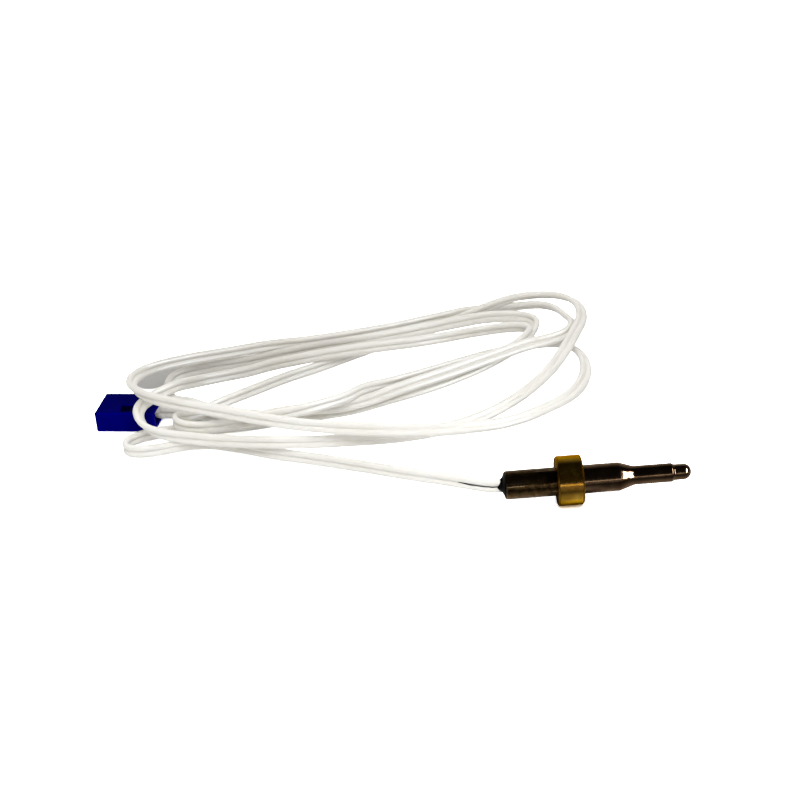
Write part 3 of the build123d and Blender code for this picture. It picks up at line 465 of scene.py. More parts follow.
def brass_material():
    look = Look("turned_brass")
    x, y, z = look.split(look.place())
    blotch = look.noise(scale=700.0, detail=6.0, rough=0.65)
    big = look.noise(scale=180.0, detail=3.0, rough=0.5)
    fine = look.noise(scale=6000.0, detail=2.0, rough=0.5)
    lines = look.turned_lines(scale=1500.0, distortion=2.5, detail=3.0, detail_scale=2.0)
    base = look.ramp(blotch, [
        (0.28, (0.42, 0.205, 0.014)), (0.50, (0.69, 0.400, 0.036)), (0.74, (0.90, 0.600, 0.11)),
    ])
    base = look.mix(look.ramp(big, [(0.45, 0), (0.70, 0.60)]), base, (0.33, 0.125, 0.005))
    # painted reflection: a dark band just above mid height
    above = look.fade("SUBTRACT", z, -0.0002, span=0.0012)
    below = look.fade("SUBTRACT", 0.0042, z, span=0.0012)
    painted_dark_band = look.times(above, below)
    base = look.mix(look.times(painted_dark_band, 0.5), base, (0.42, 0.13, 0.02))
    speck = look.noise(scale=2600.0, detail=2.0, rough=0.5)
    speck = look.ramp(speck, [(0.62, 0), (0.72, 1)])
    base = look.mix(look.times(speck, 0.45), base, (0.85, 0.56, 0.12))
    # painted shade: convex edges darker
    base = look.mix(look.times(look.edges(0.52, 0.58), 0.55), base, (0.20, 0.105, 0.02))
    # painted shade on the arrises: darker at the outer radius where it meets either end face
    square = look.math("ADD", look.times(y, y), look.times(z, z))
    outer = look.fade("SUBTRACT", look.math("SQRT", square), 0.00475, span=0.00015)
    rear_end = look.fade("SUBTRACT", -0.00495, x, span=0.0001)
    tip_end = look.fade("ADD", x, 0.00045, span=0.0001)
    painted_rim_shade = look.times(outer, look.math("MAXIMUM", rear_end, tip_end))
    base = look.mix(look.times(painted_rim_shade, 0.72), base, (0.10, 0.045, 0.008))
    height = look.scaled(lines, factor=0.55, offset=look.times(fine, 0.35))
    height = look.scaled(blotch, factor=0.5, offset=height)
    look.surface({
        "Base Color": base, "Metallic": 1.0,
        "Roughness": look.scaled(blotch, factor=0.12, offset=0.085),
        "Normal": look.bump(height, strength=0.24, distance=0.00009),
        "Specular Tint": (0.80, 0.50, 0.12),
    })
    return look.material


def cable_material():
    look = Look("cable_jacket_white")
    along = look.stretched(scale=(1.0, 26.0, 1.0), source=look.coord.outputs["UV"])
    drawn = look.noise(scale=14.0, detail=3.0, rough=0.5, source=along)
    cloud = look.noise(scale=55.0, detail=4.0, rough=0.55)
    fine = look.noise(scale=3800.0, detail=2.0, rough=0.5)
    base = look.ramp(cloud, [
        (0.25, (0.85, 0.825, 0.765)), (0.50, (0.915, 0.895, 0.845)), (0.80, (0.945, 0.935, 0.90)),
    ])
    base = look.mix(look.ramp(drawn, [(0.35, 0.16), (0.60, 0.0)]), base, (0.62, 0.62, 0.57))
    # painted shade: strands that lie in shade are darkened by a mesh attribute
    painted_shade_fac = look.node("ShaderNodeAttribute", attribute_name="painted_shade").outputs["Fac"]
    base = look.mix(painted_shade_fac, base, look.mix(1.0, base, (0.60, 0.585, 0.56), "MULTIPLY"))
    grime = look.noise(scale=900.0, detail=5.0, rough=0.7)
    base = look.mix(look.ramp(grime, [(0.66, 0), (0.78, 0.18)]), base, (0.50, 0.47, 0.40))
    height = look.scaled(drawn, factor=0.7, offset=look.times(fine, 0.2))
    look.surface({
        "Base Color": base,
        "Roughness": look.scaled(drawn, factor=0.16, offset=0.26),
        "Normal": look.bump(height, strength=0.20, distance=0.00005),
        "IOR": 1.42,
        "Subsurface Weight": 0.12,
        "Subsurface Scale": 0.0012,
        "Subsurface Radius": (1.0, 0.95, 0.85),
        "Sheen Weight": 0.05,
    })
    return look.material


def housing_material(name, light, dark):
    """Matt moulding; light is its main colour, dark its flow marks."""
    look = Look(name)

    def dimmed(factor):
        return tuple(c * factor for c in light)

    cloud = look.noise(scale=160.0, detail=3.0, rough=0.5)
    fine = look.noise(scale=4200.0, detail=3.0, rough=0.6)
    flow_axis = look.stretched(scale=(180, 900, 900))
    flow = look.noise(scale=1.0, detail=3.0, rough=0.5, source=flow_axis)
    base = look.mix(look.ramp(cloud, [(0.35, 0), (0.75, 1)]), light, dimmed(0.72))
    base = look.mix(look.times(flow, 0.25), base, dark)
    # painted shade: upward faces are darker
    _, _, upward = look.split(look.geometry("Normal"))
    top = look.times(look.math("GREATER_THAN", upward, 0.7), 0.93)
    base = look.mix(top, base, dimmed(0.28))
    base = look.mix(look.times(look.edges(0.52, 0.60), 0.55), base, dimmed(0.22))
    look.surface({
        "Base Color": base,
        "Roughness": look.scaled(fine, factor=0.14, offset=0.42),
        "Normal": look.bump(look.math("ADD", fine, flow), strength=0.16, distance=0.00005),
        "Specular IOR Level": 0.002,
    })
    return look.material


def potting_material():
    look = Look("black_potting_resin")
    blob = look.noise(scale=900.0, detail=4.0, rough=0.6)
    fine = look.noise(scale=4000.0, detail=3.0, rough=0.6)
    height = look.scaled(fine, factor=0.4, offset=blob)
    look.surface({
        "Base Color": look.ramp(blob, [
            (0.3, (0.0006, 0.0006, 0.0006)), (0.7, (0.0025, 0.0022, 0.002)),
        ]),
        "Roughness": look.scaled(blob, factor=0.35, offset=0.22),
        "Normal": look.bump(height, strength=0.35, distance=0.00012),
        "Specular IOR Level": 0.012,
    })
    return look.material


def plain(name, colour, rough=0.5, metallic=0.0, scale=1500.0, vary=0.25, bump=0.2):
    """One colour, varied by a noise of the given scale."""
    look = Look(name)
    coarse = look.noise(scale=scale, detail=5.0, rough=0.6)
    fine = look.noise(scale=scale * 4.0, detail=2.0, rough=0.5)
    dark = tuple(c * (1 - vary) for c in colour)
    light = tuple(min(1.0, c * (1 + vary * 0.5)) for c in colour)
    height = look.scaled(fine, factor=0.4, offset=coarse)
    look.surface({
        "Base Color": look.ramp(coarse, [(0.3, dark), (0.55, colour), (0.8, light)]),
        "Metallic": metallic,
        "Roughness": look.scaled(coarse, factor=0.2, offset=rough - 0.1),
        "Normal": look.bump(height, strength=bump, distance=0.00004),
    })
    return look.material


SHEATH = sheath_material()
BRASS = brass_material()
CABLE = cable_material()
POTTING = potting_material()
HOUSING = housing_material("navy_moulding", light=(0.0003, 0.0, 0.30), dark=(0.0002, 0.0, 0.16))
RETAINER = housing_material("navy_retainer", light=(0.0002, 0.0, 0.045), dark=(0.0002, 0.0, 0.018))
COPPER = plain("bare_copper_strands", (0.72, 0.33, 0.16), rough=0.32, metallic=1.0, scale=3000.0)
TINNED = plain("tinned_brass", (0.66, 0.64, 0.60), rough=0.30, metallic=1.0, scale=2200.0)
CERAMIC = plain("alumina_ceramic", (0.84, 0.82, 0.77), rough=0.55, scale=1800.0, vary=0.10)
POWDER = plain(
    "pressed_powder", (0.70, 0.68, 0.62), rough=0.85, scale=5200.0, vary=0.22, bump=0.6
)
SLEEVING = plain(
    "glass_sleeving", (0.74, 0.71, 0.62), rough=0.62, scale=2600.0, vary=0.12, bump=0.4
)
CHIP = plain("element_chip", (0.05, 0.05, 0.06), rough=0.35, scale=3000.0)
BEAD = plain("amber_glass_bead", (0.55, 0.30, 0.12), rough=0.14, vary=0.2)
WIRE = plain("bright_fine_wire", (0.72, 0.70, 0.66), rough=0.25, metallic=1.0, scale=3500.0)

CABLE_PARTS = ("lead", "coil", "tail")
for piece, material in {
    "sheath_tube": SHEATH, "brass_collar": BRASS, "sensing_element": CHIP,
    "element_glass_bead": BEAD, "element_leads": WIRE, "ceramic_insulator": CERAMIC,
    "tip_fill": POWDER, "splice_ferrules": TINNED, "splice_sleeves": SLEEVING,
    "barrel_liner": SLEEVING, "potting_plug": POTTING,
    **{f"{part}_jacket_{core}": CABLE for part in CABLE_PARTS for core in "ab"},
    **{f"{part}_conductor_{core}": COPPER for part in CABLE_PARTS for core in "ab"},
    "plug_housing": HOUSING, "plug_terminals": TINNED, "terminal_retainer": RETAINER,
}.items():
    give(NODES[piece], material)


# ---------------------------------------------------------------- mesh helpers
def mesh_object(name, verts, faces, material, uvs=None):
    mesh = bpy.data.meshes.new(name)
    mesh.from_pydata([tuple(v) for v in verts], [], faces)
    if uvs is not None:
        layer = mesh.uv_layers.new(name="UVMap")
        corners = np.zeros(len(mesh.loops), int)
        mesh.loops.foreach_get("vertex_index", corners)
        layer.data.foreach_set("uv", np.asarray(uvs, float)[corners].astype(np.float32).ravel())
    mesh.validate()
    mesh.polygons.foreach_set("use_smooth", [True] * len(mesh.polygons))
    obj = bpy.data.objects.new(name, mesh)
    bpy.context.scene.collection.objects.link(obj)
    give(obj, material)
    return obj


def turn_outward(obj, sharp, as_a_whole=False):
    """Face the mesh outward, then mark edges over the angle in degrees as sharp."""
    bm = bmesh.new()
    bm.from_mesh(obj.data)
    if not as_a_whole:
        bmesh.ops.recalc_face_normals(bm, faces=bm.faces)
    elif bm.calc_volume(signed=True) < 0:
        bmesh.ops.reverse_faces(bm, faces=bm.faces)
    bm.to_mesh(obj.data)
    bm.free()
    obj.data.set_sharp_from_angle(angle=math.radians(sharp))


def tube_faces(rows, ring, flip_caps=False):
    """Quads between rows of points, then both caps; ring is the order round one row."""
    size = len(ring)
    faces = []
    for i in range(rows - 1):
        for j in range(size):
            a, b = ring[j], ring[(j + 1) % size]
            faces.append((i * size + a, i * size + b, (i + 1) * size + b, (i + 1) * size + a))
    order = -1 if flip_caps else 1
    faces.append(tuple(ring[::-order]))
    faces.append(tuple((rows - 1) * size + r for r in ring[::order]))
    return faces


def smooth_path(points, step):
    """Points about step mm apart on a smooth curve through the rows, and their row numbers."""
    max_bend = 0.09  # radians between neighbouring points
    gap = np.linalg.norm(np.diff(points, axis=0), axis=1)
    heading = np.diff(points, axis=0) / gap[:, None]
    slope = np.zeros_like(points)
    weighted = gap[1:, None] * heading[:-1] + gap[:-1, None] * heading[1:]
    slope[1:-1] = weighted / (gap[1:] + gap[:-1])[:, None]
    slope[0], slope[-1] = heading[0], heading[-1]
    path, rows = [], []
    for i in range(len(points) - 1):
        lengths = np.linalg.norm(slope[i]) * np.linalg.norm(slope[i + 1])
        cosine = float(np.dot(slope[i], slope[i + 1]) / lengths)
        bend = math.acos(max(-1.0, min(1.0, cosine)))
        count = max(2, int(math.ceil(max(gap[i] / step, bend / max_bend))))
        s = np.arange(count) / count
        # cubic Hermite weights of the two points and their slopes
        at_start, slope_start = 2 * s**3 - 3 * s**2 + 1, s**3 - 2 * s**2 + s
        at_end, slope_end = -2 * s**3 + 3 * s**2, s**3 - s**2
        path.append(
            at_start[:, None] * points[i]
            + slope_start[:, None] * (slope[i] * gap[i])
            + at_end[:, None] * points[i + 1]
            + slope_end[:, None] * (slope[i + 1] * gap[i])
        )
        rows.append(i + s)
    path.append(points[-1:])
    rows.append(np.array([len(points) - 1.0]))
    return np.vstack(path), np.concatenate(rows)


def run_length(path):
    return np.r_[0, np.cumsum(np.linalg.norm(np.diff(path, axis=0), axis=1))]


def frames(path, wide):
    """Direction towards core A, square to the path, and direction across the cable."""
    tangent = np.gradient(path, axis=0)
    tangent /= np.linalg.norm(tangent, axis=1)[:, None]
    to_a = wide - (wide * tangent).sum(1)[:, None] * tangent
    to_a /= np.linalg.norm(to_a, axis=1)[:, None]
    return to_a, np.cross(tangent, to_a)


def twin_profile(per_core=15):
    """Figure-of-eight section of the cable: (towards core A, across), anticlockwise."""
    gap = math.radians(24)
    points = []
    for sign, start in ((1, -math.pi + gap), (-1, gap)):
        for k in range(per_core):
            a = start + (2 * math.pi - 2 * gap) * k / (per_core - 1)
            points.append((sign * CORE_OFFSET + CORE_RADIUS * math.cos(a), CORE_RADIUS * math.sin(a)))
        points.append((0.0, sign * GROOVE_HEIGHT))
    return np.array(points)


def sweep(name, path, wide, profile, start_run, scale=None, painted_shade=None):
    """A closed cable-jacket tube; its U runs on from start_run, and the last argument is the shade painted along it,
    0..1.
    """
    to_a, across = frames(path, wide)
    size = len(profile)
    run = start_run + run_length(path)
    scale = np.ones(len(path)) if scale is None else scale
    rings = path[:, None, :] + scale[:, None, None] * (
        profile[None, :, 0, None] * to_a[:, None, :] + profile[None, :, 1, None] * across[:, None, :]
    )
    verts = rings.reshape(-1, 3) * MM
    uvs = np.zeros((len(verts), 2))
    uvs[:, 0] = np.repeat(run, size) * 0.01
    uvs[:, 1] = np.tile(np.arange(size) / size, len(path))
    obj = mesh_object(name, verts, tube_faces(len(path), list(range(size))), CABLE, uvs)
    painted_shades = np.zeros(len(verts)) if painted_shade is None else np.repeat(painted_shade, size)
    layer = obj.data.attributes.new("painted_shade", "FLOAT", "POINT")
    layer.data.foreach_set("value", painted_shades.astype(np.float32))
    turn_outward(obj, sharp=40.0, as_a_whole=True)
    return obj


# ---------------------------------------------------------------- the cable
centre, rows = smooth_path(ROUTE[:, :3], step=0.9)
wide = np.stack([np.interp(rows, np.arange(len(ROUTE)), ROUTE[:, 3 + k]) for k in range(3)], 1)
run = run_length(centre)


def nearest(point, first=0, last=None):
    return first + int(np.linalg.norm(centre[first:last] - np.asarray(point), axis=1).argmin())


def lean(at, degrees, reach):
    """Roll the flat cable about its own run near a point."""
    to_a, across = frames(centre, wide)
    roll = np.exp(-(((run - run[nearest(at)]) / reach) ** 2)) * math.radians(degrees)
    wide[:] = to_a * np.cos(roll)[:, None] + across * np.sin(roll)[:, None]


# two turns at the -X side of the coil
lean((-96.3, 39.7, 2.2), degrees=40, reach=9.0)
lean((-98.5, 49.4, 5.8), degrees=40, reach=9.0)

lead_pivot_row = nearest(PIVOT_LEAD, 0, 60)
plug_pivot_row = nearest(PIVOT_PLUG, len(centre) - 60)
lead_end = int(np.searchsorted(run, run[lead_pivot_row] + 9.0))
tail_start = int(np.searchsorted(run, run[plug_pivot_row] - 6.0))


def swell(run):
    """The extrusion is never dead even."""
    return 1.0 + 0.008 * np.sin(run * 0.31) + 0.006 * np.sin(run * 0.117 + 1.3)


def smoothstep(value, start, end):
    f = np.clip((value - start) / (end - start), 0, 1)
    return f * f * (3 - 2 * f)


def painted_run_shade():
    """Painted shade along the run, 0..1: darker on the strands further back and on the far-left turns."""
    x, y = centre[:, 0], centre[:, 1]
    painted_shade = 0.13 * smoothstep(y, 10, 24) + 0.23 * smoothstep(y, 28, 62)
    painted_shade = painted_shade + 0.34 * smoothstep(y, 46, 60) * (1 - smoothstep(x, -78, -38))
    # the darkest painted shade starts at a tight curl
    curl = run[nearest((-91.5, 58.1, -0.5))]
    fade_out = 1 - smoothstep(run, curl + 42, curl + 66)
    return np.maximum(painted_shade, 0.80 * smoothstep(run, curl - 6, curl + 10) * fade_out)


def cable_piece(name, first, last):
    part = slice(first, last + 1)
    return sweep(
        name, centre[part], wide[part], PROFILE, run[first], swell(start_plus_run(part)), painted_shade[part]
    )


def start_plus_run(part):
    """Run along one part, measured from the probe."""
    return run[part.start] + run_length(centre[part])


PROFILE = twin_profile()
painted_shade = painted_run_shade()
lead = cable_piece("cable_lead", 0, lead_end)
coil = cable_piece("cable_coil_turns", lead_end, tail_start)
tail = cable_piece("cable_tail", tail_start, len(centre) - 1)


def blend_span(pivot, row, half):
    """Start and end of a bend, level along the cable either side of its pivot."""
    along = centre[min(row + 2, len(centre) - 1)] - centre[max(row - 2, 0)]
    along[2] = 0
    along = along / np.linalg.norm(along)
    return {"start": tuple((pivot - along * half) * MM), "end": tuple((pivot + along * half) * MM)}


LEAD_SPAN = blend_span(PIVOT_LEAD, lead_pivot_row, LEAD_BLEND)
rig.blend(lead, "probe", "cable_coil", **LEAD_SPAN)
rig.ride(coil, "cable_coil")
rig.blend(tail, "cable_coil", "plug", **blend_span(PIVOT_PLUG, plug_pivot_row, PLUG_BLEND))
for obj, part in zip((lead, coil, tail), CABLE_PARTS):
    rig.replaces(obj, *(f"{part}_{layer}_{core}" for layer in ("jacket", "conductor") for core in "ab"))
    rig.slot(obj, "cable_jacket")


# ---------------------------------------------------------------- cores fanned out in the plug
def core_ends():
    """The two cores in the connector's rear pocket, turning from stacked to side by side."""
    low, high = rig.box("plug_housing")
    yaw = math.radians(-9.5)
    inward = np.array([-math.cos(yaw), -math.sin(yaw), 0.0])
    sideways = np.array([-math.sin(yaw), math.cos(yaw), 0.0])
    entry = ROUTE[-1, :3].copy()
    entry[2] = (low[2] + high[2]) / 2 / MM
    radius = CORE_RADIUS * 0.985
    angles = np.arange(20) * math.pi / 10
    circle = np.array([(radius * math.cos(a), radius * math.sin(a)) for a in angles])
    # distance in from the entry, distance sideways, height; mm
    stations = [
        (-1.2, 0, CORE_OFFSET), (0.2, 0, CORE_OFFSET * 0.98), (1.7, 0.75, 0.55),
        (3.2, 1.75, 0.12), (4.5, 2.12, 0), (5.4, 2.15, 0),
    ]
    for side, label in ((1, "a"), (-1, "b")):
        points = np.array([
            entry + inward * depth - sideways * side * spread + np.array([0, 0, side * height])
            for depth, spread, height in stations
        ])
        path, _ = smooth_path(points, step=0.25)
        across = np.repeat(sideways[None, :], len(path), 0)
        core = sweep("cable_core_end_" + label, path, across, circle, run[-1])
        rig.ride(core, "plug")
        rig.slot(core, "cable_jacket")


core_ends()

# ---------------------------------------------------------------- black potting
# Stations along -X: mm behind the barrel's rear edge, blend from round (0) to the cable's
# outline (1), radius of the round in mm
POTTING_STATIONS = [
    (-1.6, 0.0, 2.56), (-0.25, 0.0, 2.57), (0.0, 0.0, 2.55), (0.012, 0.0, 2.86),
    (0.07, 0.0, 2.91), (0.18, 0.03, 2.86), (0.34, 0.10, 2.66), (0.55, 0.24, 2.40),
    (0.78, 0.42, 2.14), (1.02, 0.60, 1.92), (1.26, 0.78, 1.72), (1.42, 0.92, 1.56),
    (1.5, 1.0, 1.46),
]


def outline_radius(cosine, sine):
    """Radius, at an angle from +Y, of an upright stadium just clear of both cores."""
    low, high = 0.0, 3.0
    for _ in range(24):
        middle = (low + high) / 2
        y, z = middle * cosine, middle * sine
        inside = math.hypot(y, max(0.0, abs(z) - CORE_OFFSET)) < CORE_RADIUS + 0.05
        low, high = (middle, high) if inside else (low, middle)
    return low


def potting_fillet():
    """Fillet from the barrel's mouth onto the cable."""
    segments, verts = 72, []
    phase = np.random.default_rng(7).uniform(0, 6.28, 6)
    for behind, blend, radius in POTTING_STATIONS:
        # past the mouth, the fillet follows the cable and is uneven
        free = behind > 0.2
        y, z = 0.0, 0.0
        if free:
            y, z = centre[int(np.abs(centre[:60, 0] - BARREL_REAR + behind).argmin()), 1:]
        for s in range(segments):
            a = 2 * math.pi * s / segments
            cosine, sine = math.cos(a), math.sin(a)
            # the resin has run out furthest along the two grooves
            reach = behind
            if behind >= 0.05:
                reach = behind * (0.66 + 0.46 * abs(cosine) ** 3 - 0.14 * max(0.0, -sine))
            ripple = math.sin(3 * a + phase[0]) + 0.6 * math.sin(5 * a + phase[1] + 2 * behind)
            uneven = 1.0 + (0.035 * blend * ripple if free else 0.0)
            out = ((1 - blend) * radius + blend * outline_radius(cosine, sine)) * uneven
            point = (BARREL_REAR - reach, y * blend + out * cosine, z * blend + out * sine)
            verts.append(tuple(v * MM for v in point))
    # the caps wind against the sides until the faces are turned outward
    faces = tube_faces(len(POTTING_STATIONS), list(range(segments)), flip_caps=True)
    obj = mesh_object("potting_fillet", verts, faces, POTTING)
    turn_outward(obj, sharp=60.0)
    return obj


potting = potting_fillet()
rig.ride(potting, "probe")
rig.replaces(potting, "potting_plug")
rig.slot(potting, "potting")


def resin_creep(name, side, length):
    """Resin that has crept along one groove between the cores; side -1 is the front."""
    start = int(np.abs(centre[:80, 0] - (BARREL_REAR - 1.0)).argmin())
    end = int(np.searchsorted(run, run[start] + length))
    fine_rows = np.linspace(start, end, 90)

    def finer(values):
        columns = [np.interp(fine_rows, np.arange(len(centre)), values[:, k]) for k in range(3)]
        return np.stack(columns, 1)

    middle, to_a, across = (finer(values) for values in (centre, *frames(centre, wide)))
    top_points = 7
    verts = []
    for i in range(len(fine_rows)):
        f = i / (len(fine_rows) - 1)
        # the last fifth tapers; the half width ripples and flares at the barrel end
        taper = min(1.0, (1 - f) / 0.2) ** 0.6
        half = 0.05 + 0.12 * taper * (0.65 + 0.35 * min(1.0, f / 0.35))
        half = half * (1 + 0.16 * math.sin(11.0 * f) + 0.10 * math.sin(27 * f + 1))
        half += 0.30 * max(0.0, 1 - f / 0.07)
        edge_height = 0.31 + 0.07 * taper
        for s in range(top_points):
            # hollow across the top, but never below the cores' own surface
            a = -1 + 2 * s / (top_points - 1)
            hollow = edge_height - 0.10 * (1 - a * a) * taper
            core = CORE_RADIUS**2 - (CORE_OFFSET - abs(a) * half) ** 2
            height = max(hollow, (math.sqrt(core) if core > 0 else 0) + 0.012)
            verts.append((middle[i] + to_a[i] * a * half + side * across[i] * height) * MM)
        for sign in (-1, 1):
            verts.append((middle[i] + sign * to_a[i] * half + side * across[i] * 0.05) * MM)
    ring = [*range(top_points), top_points + 1, top_points]
    obj = mesh_object(name, verts, tube_faces(len(fine_rows), ring), POTTING)
    turn_outward(obj, sharp=50.0)
    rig.blend(obj, "probe", "cable_coil", **LEAD_SPAN)
    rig.slot(obj, "potting")


resin_creep("resin_creep_front", side=-1, length=9.4)
resin_creep("resin_creep_back", side=1, length=2.4)


# ---------------------------------------------------------------- floor
# Shade in the closed corners of the coil, mm: ends of a line, half width at each, depth
CORNER_SHADES = [
    ((-97.2, 71.3), (-85.8, 75.4), 5.0, 5.5, 0.965),
    ((-85.8, 75.4), (-54.4, 81.2), 5.5, 2.5, 0.965),
    ((-84.5, 49.0), (-74.7, 47.0), 2.6, 2.6, 0.95),
]
SHADE_EDGE = 0.0022  # softness of the shade's edge


def mirrored_floor(look, x, y):
    """The floor as shiny surfaces see it: an emission that varies from place to place, with painted light and shade
    for the reflections.
    """
    fade, times, inverse = look.fade, look.times, look.inverse
    position = look.math("MULTIPLY_ADD", y, 8.0, 0.6, clamp=True)
    # light thrown back onto the floor in front of the collar
    from_collar = look.math("ABSOLUTE", look.math("ADD", x, 0.0012))
    near = look.math("SUBTRACT", 1.0, times(from_collar, 1 / 0.0065), clamp=True)
    front = fade("SUBTRACT", -0.0030, y, span=0.003)
    gain = look.scaled(times(near, front), factor=2.6, offset=1.0)
    # painted shadow underneath the collar
    after = fade("ADD", y, 0.0050, span=0.0015)
    under = times(after, fade("SUBTRACT", 0.012, y, span=0.004))
    from_middle = look.math("ABSOLUTE", look.math("ADD", x, 0.0020))
    broad = look.math("MULTIPLY_ADD", from_middle, -1.8 / 0.0075, 1.8, clamp=True)
    gain = times(gain, inverse(times(times(broad, under), 0.80)))
    # painted shade: the paper in front is darker towards the cable end
    side = look.scaled(fade("ADD", x, 0.0125, span=0.006), factor=0.90, offset=0.10)
    fore = fade("SUBTRACT", -0.012, y, span=0.004)
    gain = times(gain, inverse(times(fore, inverse(side))))
    # and nearer in, painted light beside the rear barrel
    rear = fade("SUBTRACT", -0.0058, x, span=0.003)
    gain = times(gain, look.scaled(times(rear, inverse(fore)), factor=1.0, offset=1.0))
    # the collar shades the floor behind the barrel
    hidden_x = times(
        fade("SUBTRACT", -0.0042, x, span=0.0012), fade("ADD", x, 0.0180, span=0.004)
    )
    hidden_y = times(
        fade("ADD", y, 0.0015, span=0.0015), fade("SUBTRACT", 0.028, y, span=0.008)
    )
    gain = times(gain, inverse(times(times(hidden_x, hidden_y), 0.88)))
    # brightness from the front of the floor to the back
    colour = look.ramp(position, [
        (0.0, 0.42), (0.28, 0.22), (0.41, 0.085), (0.475, 0.04),
        (0.545, 0.20), (0.575, 0.60), (0.62, 0.80), (0.90, 0.95),
    ])
    return look.node("ShaderNodeEmission", {"Color": colour, "Strength": gain}).outputs[0]


def corner_shade(look, x, y, start, end, start_width, end_width, depth):
    """Shade within a width of a line; the width changes along the line."""
    (start_x, start_y), (end_x, end_y) = start, end
    step_x, step_y = end_x - start_x, end_y - start_y
    square = step_x**2 + step_y**2
    from_x = look.math("SUBTRACT", x, start_x * MM)
    from_y = look.math("SUBTRACT", y, start_y * MM)
    part_x = look.times(from_x, step_x / square / MM)
    part_y = look.times(from_y, step_y / square / MM)
    along = look.math("ADD", part_x, part_y, clamp=True)
    off_x = look.math("SUBTRACT", from_x, look.times(along, step_x * MM))
    off_y = look.math("SUBTRACT", from_y, look.times(along, step_y * MM))
    distance = look.math("ADD", look.times(off_x, off_x), look.times(off_y, off_y))
    distance = look.math("SQRT", distance)
    width = look.scaled(along, (end_width - start_width) * MM, start_width * MM)
    inside = look.math("DIVIDE", look.math("SUBTRACT", width, distance), SHADE_EDGE)
    return look.times(look.math("ADD", inside, 0.5, clamp=True), depth)


def seen_floor(look, place):
    """The floor as the camera sees it: evenly lit paper with shade in the coil's corners."""
    coil_coord = look.node("ShaderNodeTexCoord", object=NODES["coil_jacket_a"])
    coil_place = coil_coord.outputs["Object"]
    x, y, _ = look.split(coil_place)
    shade = None
    for corner in CORNER_SHADES:
        inside = corner_shade(look, x, y, *corner)
        shade = inside if shade is None else look.math("MAXIMUM", shade, inside)
    # only with the coil where it was laid
    moved = look.node("ShaderNodeVectorMath", {0: place, 1: coil_place}, operation="DISTANCE")
    away = look.fade("SUBTRACT", moved.outputs["Value"], 0.0060, span=0.006)
    shade = look.times(shade, look.inverse(away))
    # and only seen from the front
    facing = look.node(
        "ShaderNodeVectorMath",
        {0: look.geometry("Incoming"), 1: (0.1086, -0.8706, 0.4799)},
        operation="DOT_PRODUCT",
    )
    in_front = look.fade("SUBTRACT", facing.outputs["Value"], 0.925, span=0.035)
    shade = look.times(shade, in_front)
    colour = look.mix(shade, (3.1, 3.1, 3.1), (0.30, 0.29, 0.272))
    return look.node("ShaderNodeBsdfDiffuse", {"Color": colour, "Roughness": 0.0}).outputs[0]


def floor_material():
    look = Look("pale_floor")
    cloud = look.noise(scale=3.0, detail=2.0)
    look.surface({
        "Base Color": look.ramp(cloud, [(0.3, (0.66, 0.66, 0.65)), (0.7, (0.69, 0.69, 0.68))]),
        "Roughness": 0.9,
        "Specular IOR Level": 0.0,
    })
    rays = look.node("ShaderNodeLightPath").outputs
    place = look.place()
    x, y, _ = look.split(place)
    plain_floor = look.principled.outputs[0]
    unseen = look.mix_shader(rays["Is Glossy Ray"], plain_floor, mirrored_floor(look, x, y))
    both = look.mix_shader(rays["Is Camera Ray"], unseen, seen_floor(look, place))
    look.put(look.output, 0, both)
    return look.material


bpy.ops.mesh.primitive_plane_add(size=8.0, location=(0, 0, FLOOR_Z))
floor = bpy.context.object
floor.name = "floor"
give(floor, floor_material())
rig.stage(floor)


# ---------------------------------------------------------------- world
def studio_world():
    world = bpy.data.worlds.new("studio")
    bpy.context.scene.world = world
    world.use_nodes = True
    sky = Nodes(world.node_tree)
    output = sky.node("ShaderNodeOutputWorld")
    soft = sky.node("ShaderNodeBackground", {0: (1, 1, 1), 1: 0.49})
    # what shiny surfaces see: dim overhead, pale backdrop behind
    x, y, z = sky.split(sky.node("ShaderNodeTexCoord").outputs["Generated"])
    turn = sky.node("ShaderNodeMath", {0: z, 1: y}, operation="ARCTAN2").outputs[0]
    height = sky.node("ShaderNodeMath", {0: turn, 1: 1 / math.pi}, operation="MULTIPLY")
    # 0 = horizon behind the object, 0.5 = overhead, 1 = horizon in front of it
    glow = sky.ramp(height.outputs[0], [
        (0.0, 0.90), (0.12, 0.62), (0.20, 0.42), (0.28, 0.16), (0.35, 0.012),
        (0.80, 0.006), (0.86, 0.03), (0.94, 0.08), (0.97, 0.10), (1.0, 0.22),
    ])
    # dimmer towards both sides, down to 0.24
    sideways = sky.node("ShaderNodeMath", {0: x}, operation="ABSOLUTE").outputs[0]
    falloff = sky.node(
        "ShaderNodeMath", {0: sideways, 1: -3.6, 2: 3.4}, operation="MULTIPLY_ADD", use_clamp=True
    ).outputs[0]
    strength = sky.node("ShaderNodeMath", {0: falloff, 1: 0.24}, operation="MAXIMUM").outputs[0]
    gloss = sky.node("ShaderNodeBackground", {0: glow, 1: strength})
    seen = sky.node("ShaderNodeBackground", {0: (1, 1, 1)})
    rays = sky.node("ShaderNodeLightPath").outputs
    unseen = sky.mix_shader(rays["Is Glossy Ray"], soft.outputs[0], gloss.outputs[0])
    both = sky.mix_shader(rays["Is Camera Ray"], unseen, seen.outputs[0])
    sky.put(output, 0, both)


studio_world()


# ---------------------------------------------------------------- lights
def area_light(name, size, power, glossy, colour=(1, 1, 1)):
    data = bpy.data.lights.new(name, "AREA")
    data.shape = "RECTANGLE"
    data.size, data.size_y = size
    data.energy = power
    data.color = colour
    light = bpy.data.objects.new(name, data)
    bpy.context.scene.collection.objects.link(light)
    light.visible_glossy = glossy
    return light


def aim(light, location, target):
    light.location = location
    direction = Vector(target) - Vector(location)
    light.rotation_euler = direction.to_track_quat("-Z", "Y").to_euler()


def axes_matrix(x_axis, y_axis, z_axis, location):
    matrix = Matrix((x_axis, y_axis, z_axis)).transposed().to_4x4()
    matrix.translation = location
    return matrix


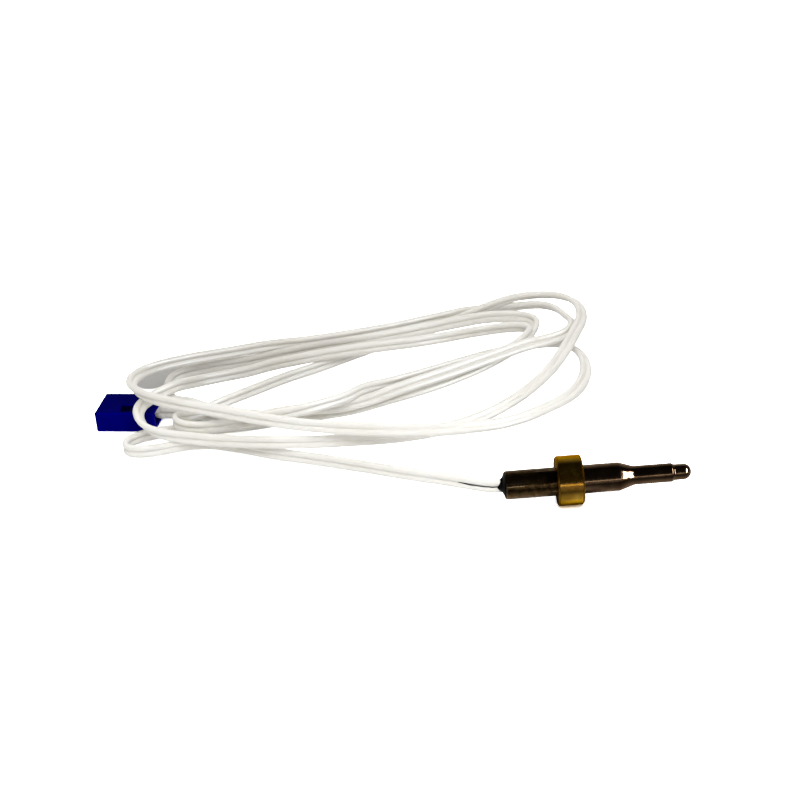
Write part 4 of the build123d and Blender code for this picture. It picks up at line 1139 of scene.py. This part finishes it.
key = area_light("key", size=(0.30, 0.20), power=0.86, glossy=False)
aim(key, location=(-0.02, -0.20, 0.30), target=(-0.04, 0.03, 0))
top = area_light("top", size=(0.35, 0.25), power=1.0, glossy=False)
aim(top, location=(-0.06, 0.34, 0.50), target=(-0.04, 0.04, 0))
# long low strip: the thin streak along the barrel
strip = area_light("strip", size=(0.9, 0.055), power=0.42, glossy=True)
aim(strip, location=(0.05, -0.62, 0.092), target=(0.0, 0, 0))


def window_light():
    """Tall window to the right: only in shiny metal and resin, on faces leaning to the tip."""
    window = area_light(
        "window", size=(0.12, 0.56), power=12.0, glossy=True, colour=(0.86, 0.93, 1.0)
    )
    window.visible_diffuse = False
    distance = 0.6
    outward = Vector((0.763, -0.490, 0.422)).normalized()
    upward = Vector((0.0, 0.65, 0.76))
    upward = (upward - upward.dot(outward) * outward).normalized()
    window.matrix_world = axes_matrix(upward.cross(outward), upward, outward, outward * distance)


window_light()

# ---------------------------------------------------------------- camera
# A look along +Y from above, rolled a little
CAMERA_TILT = math.radians(28.0)
CAMERA_ROLL = math.radians(4.48)
ORIGIN_DEPTH = 0.332  # distance of the scene origin along the view
ORIGIN_RIGHT = 0.11375  # its place right of the view axis, per unit of depth
ORIGIN_UP = -0.0495625  # and above it


def add_camera():
    forward = Vector((0, math.cos(CAMERA_TILT), -math.sin(CAMERA_TILT)))
    level_up = Vector((0, math.sin(CAMERA_TILT), math.cos(CAMERA_TILT)))
    level_right = Vector((1, 0, 0))
    cosine, sine = math.cos(CAMERA_ROLL), math.sin(CAMERA_ROLL)
    right = cosine * level_right - sine * level_up
    up = sine * level_right + cosine * level_up
    eye = -ORIGIN_DEPTH * (forward + ORIGIN_RIGHT * right + ORIGIN_UP * up)
    data = bpy.data.cameras.new("camera")
    data.sensor_width = 36.0
    data.lens = 72.0
    data.clip_start, data.clip_end = 0.01, 20.0
    camera = bpy.data.objects.new("camera", data)
    bpy.context.scene.collection.objects.link(camera)
    camera.matrix_world = axes_matrix(right, up, -forward, eye)
    bpy.context.scene.camera = camera


add_camera()
bpy.context.scene.view_settings.view_transform = "Standard"
bpy.context.scene.view_settings.look = "None"

low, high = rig.bounds()
sizes = {"cad": [list(CAD_BOX[0]), list(CAD_BOX[1])], "visual": [list(low), list(high)]}
with open("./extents.json", "w") as size_file:
    json.dump(sizes, size_file)
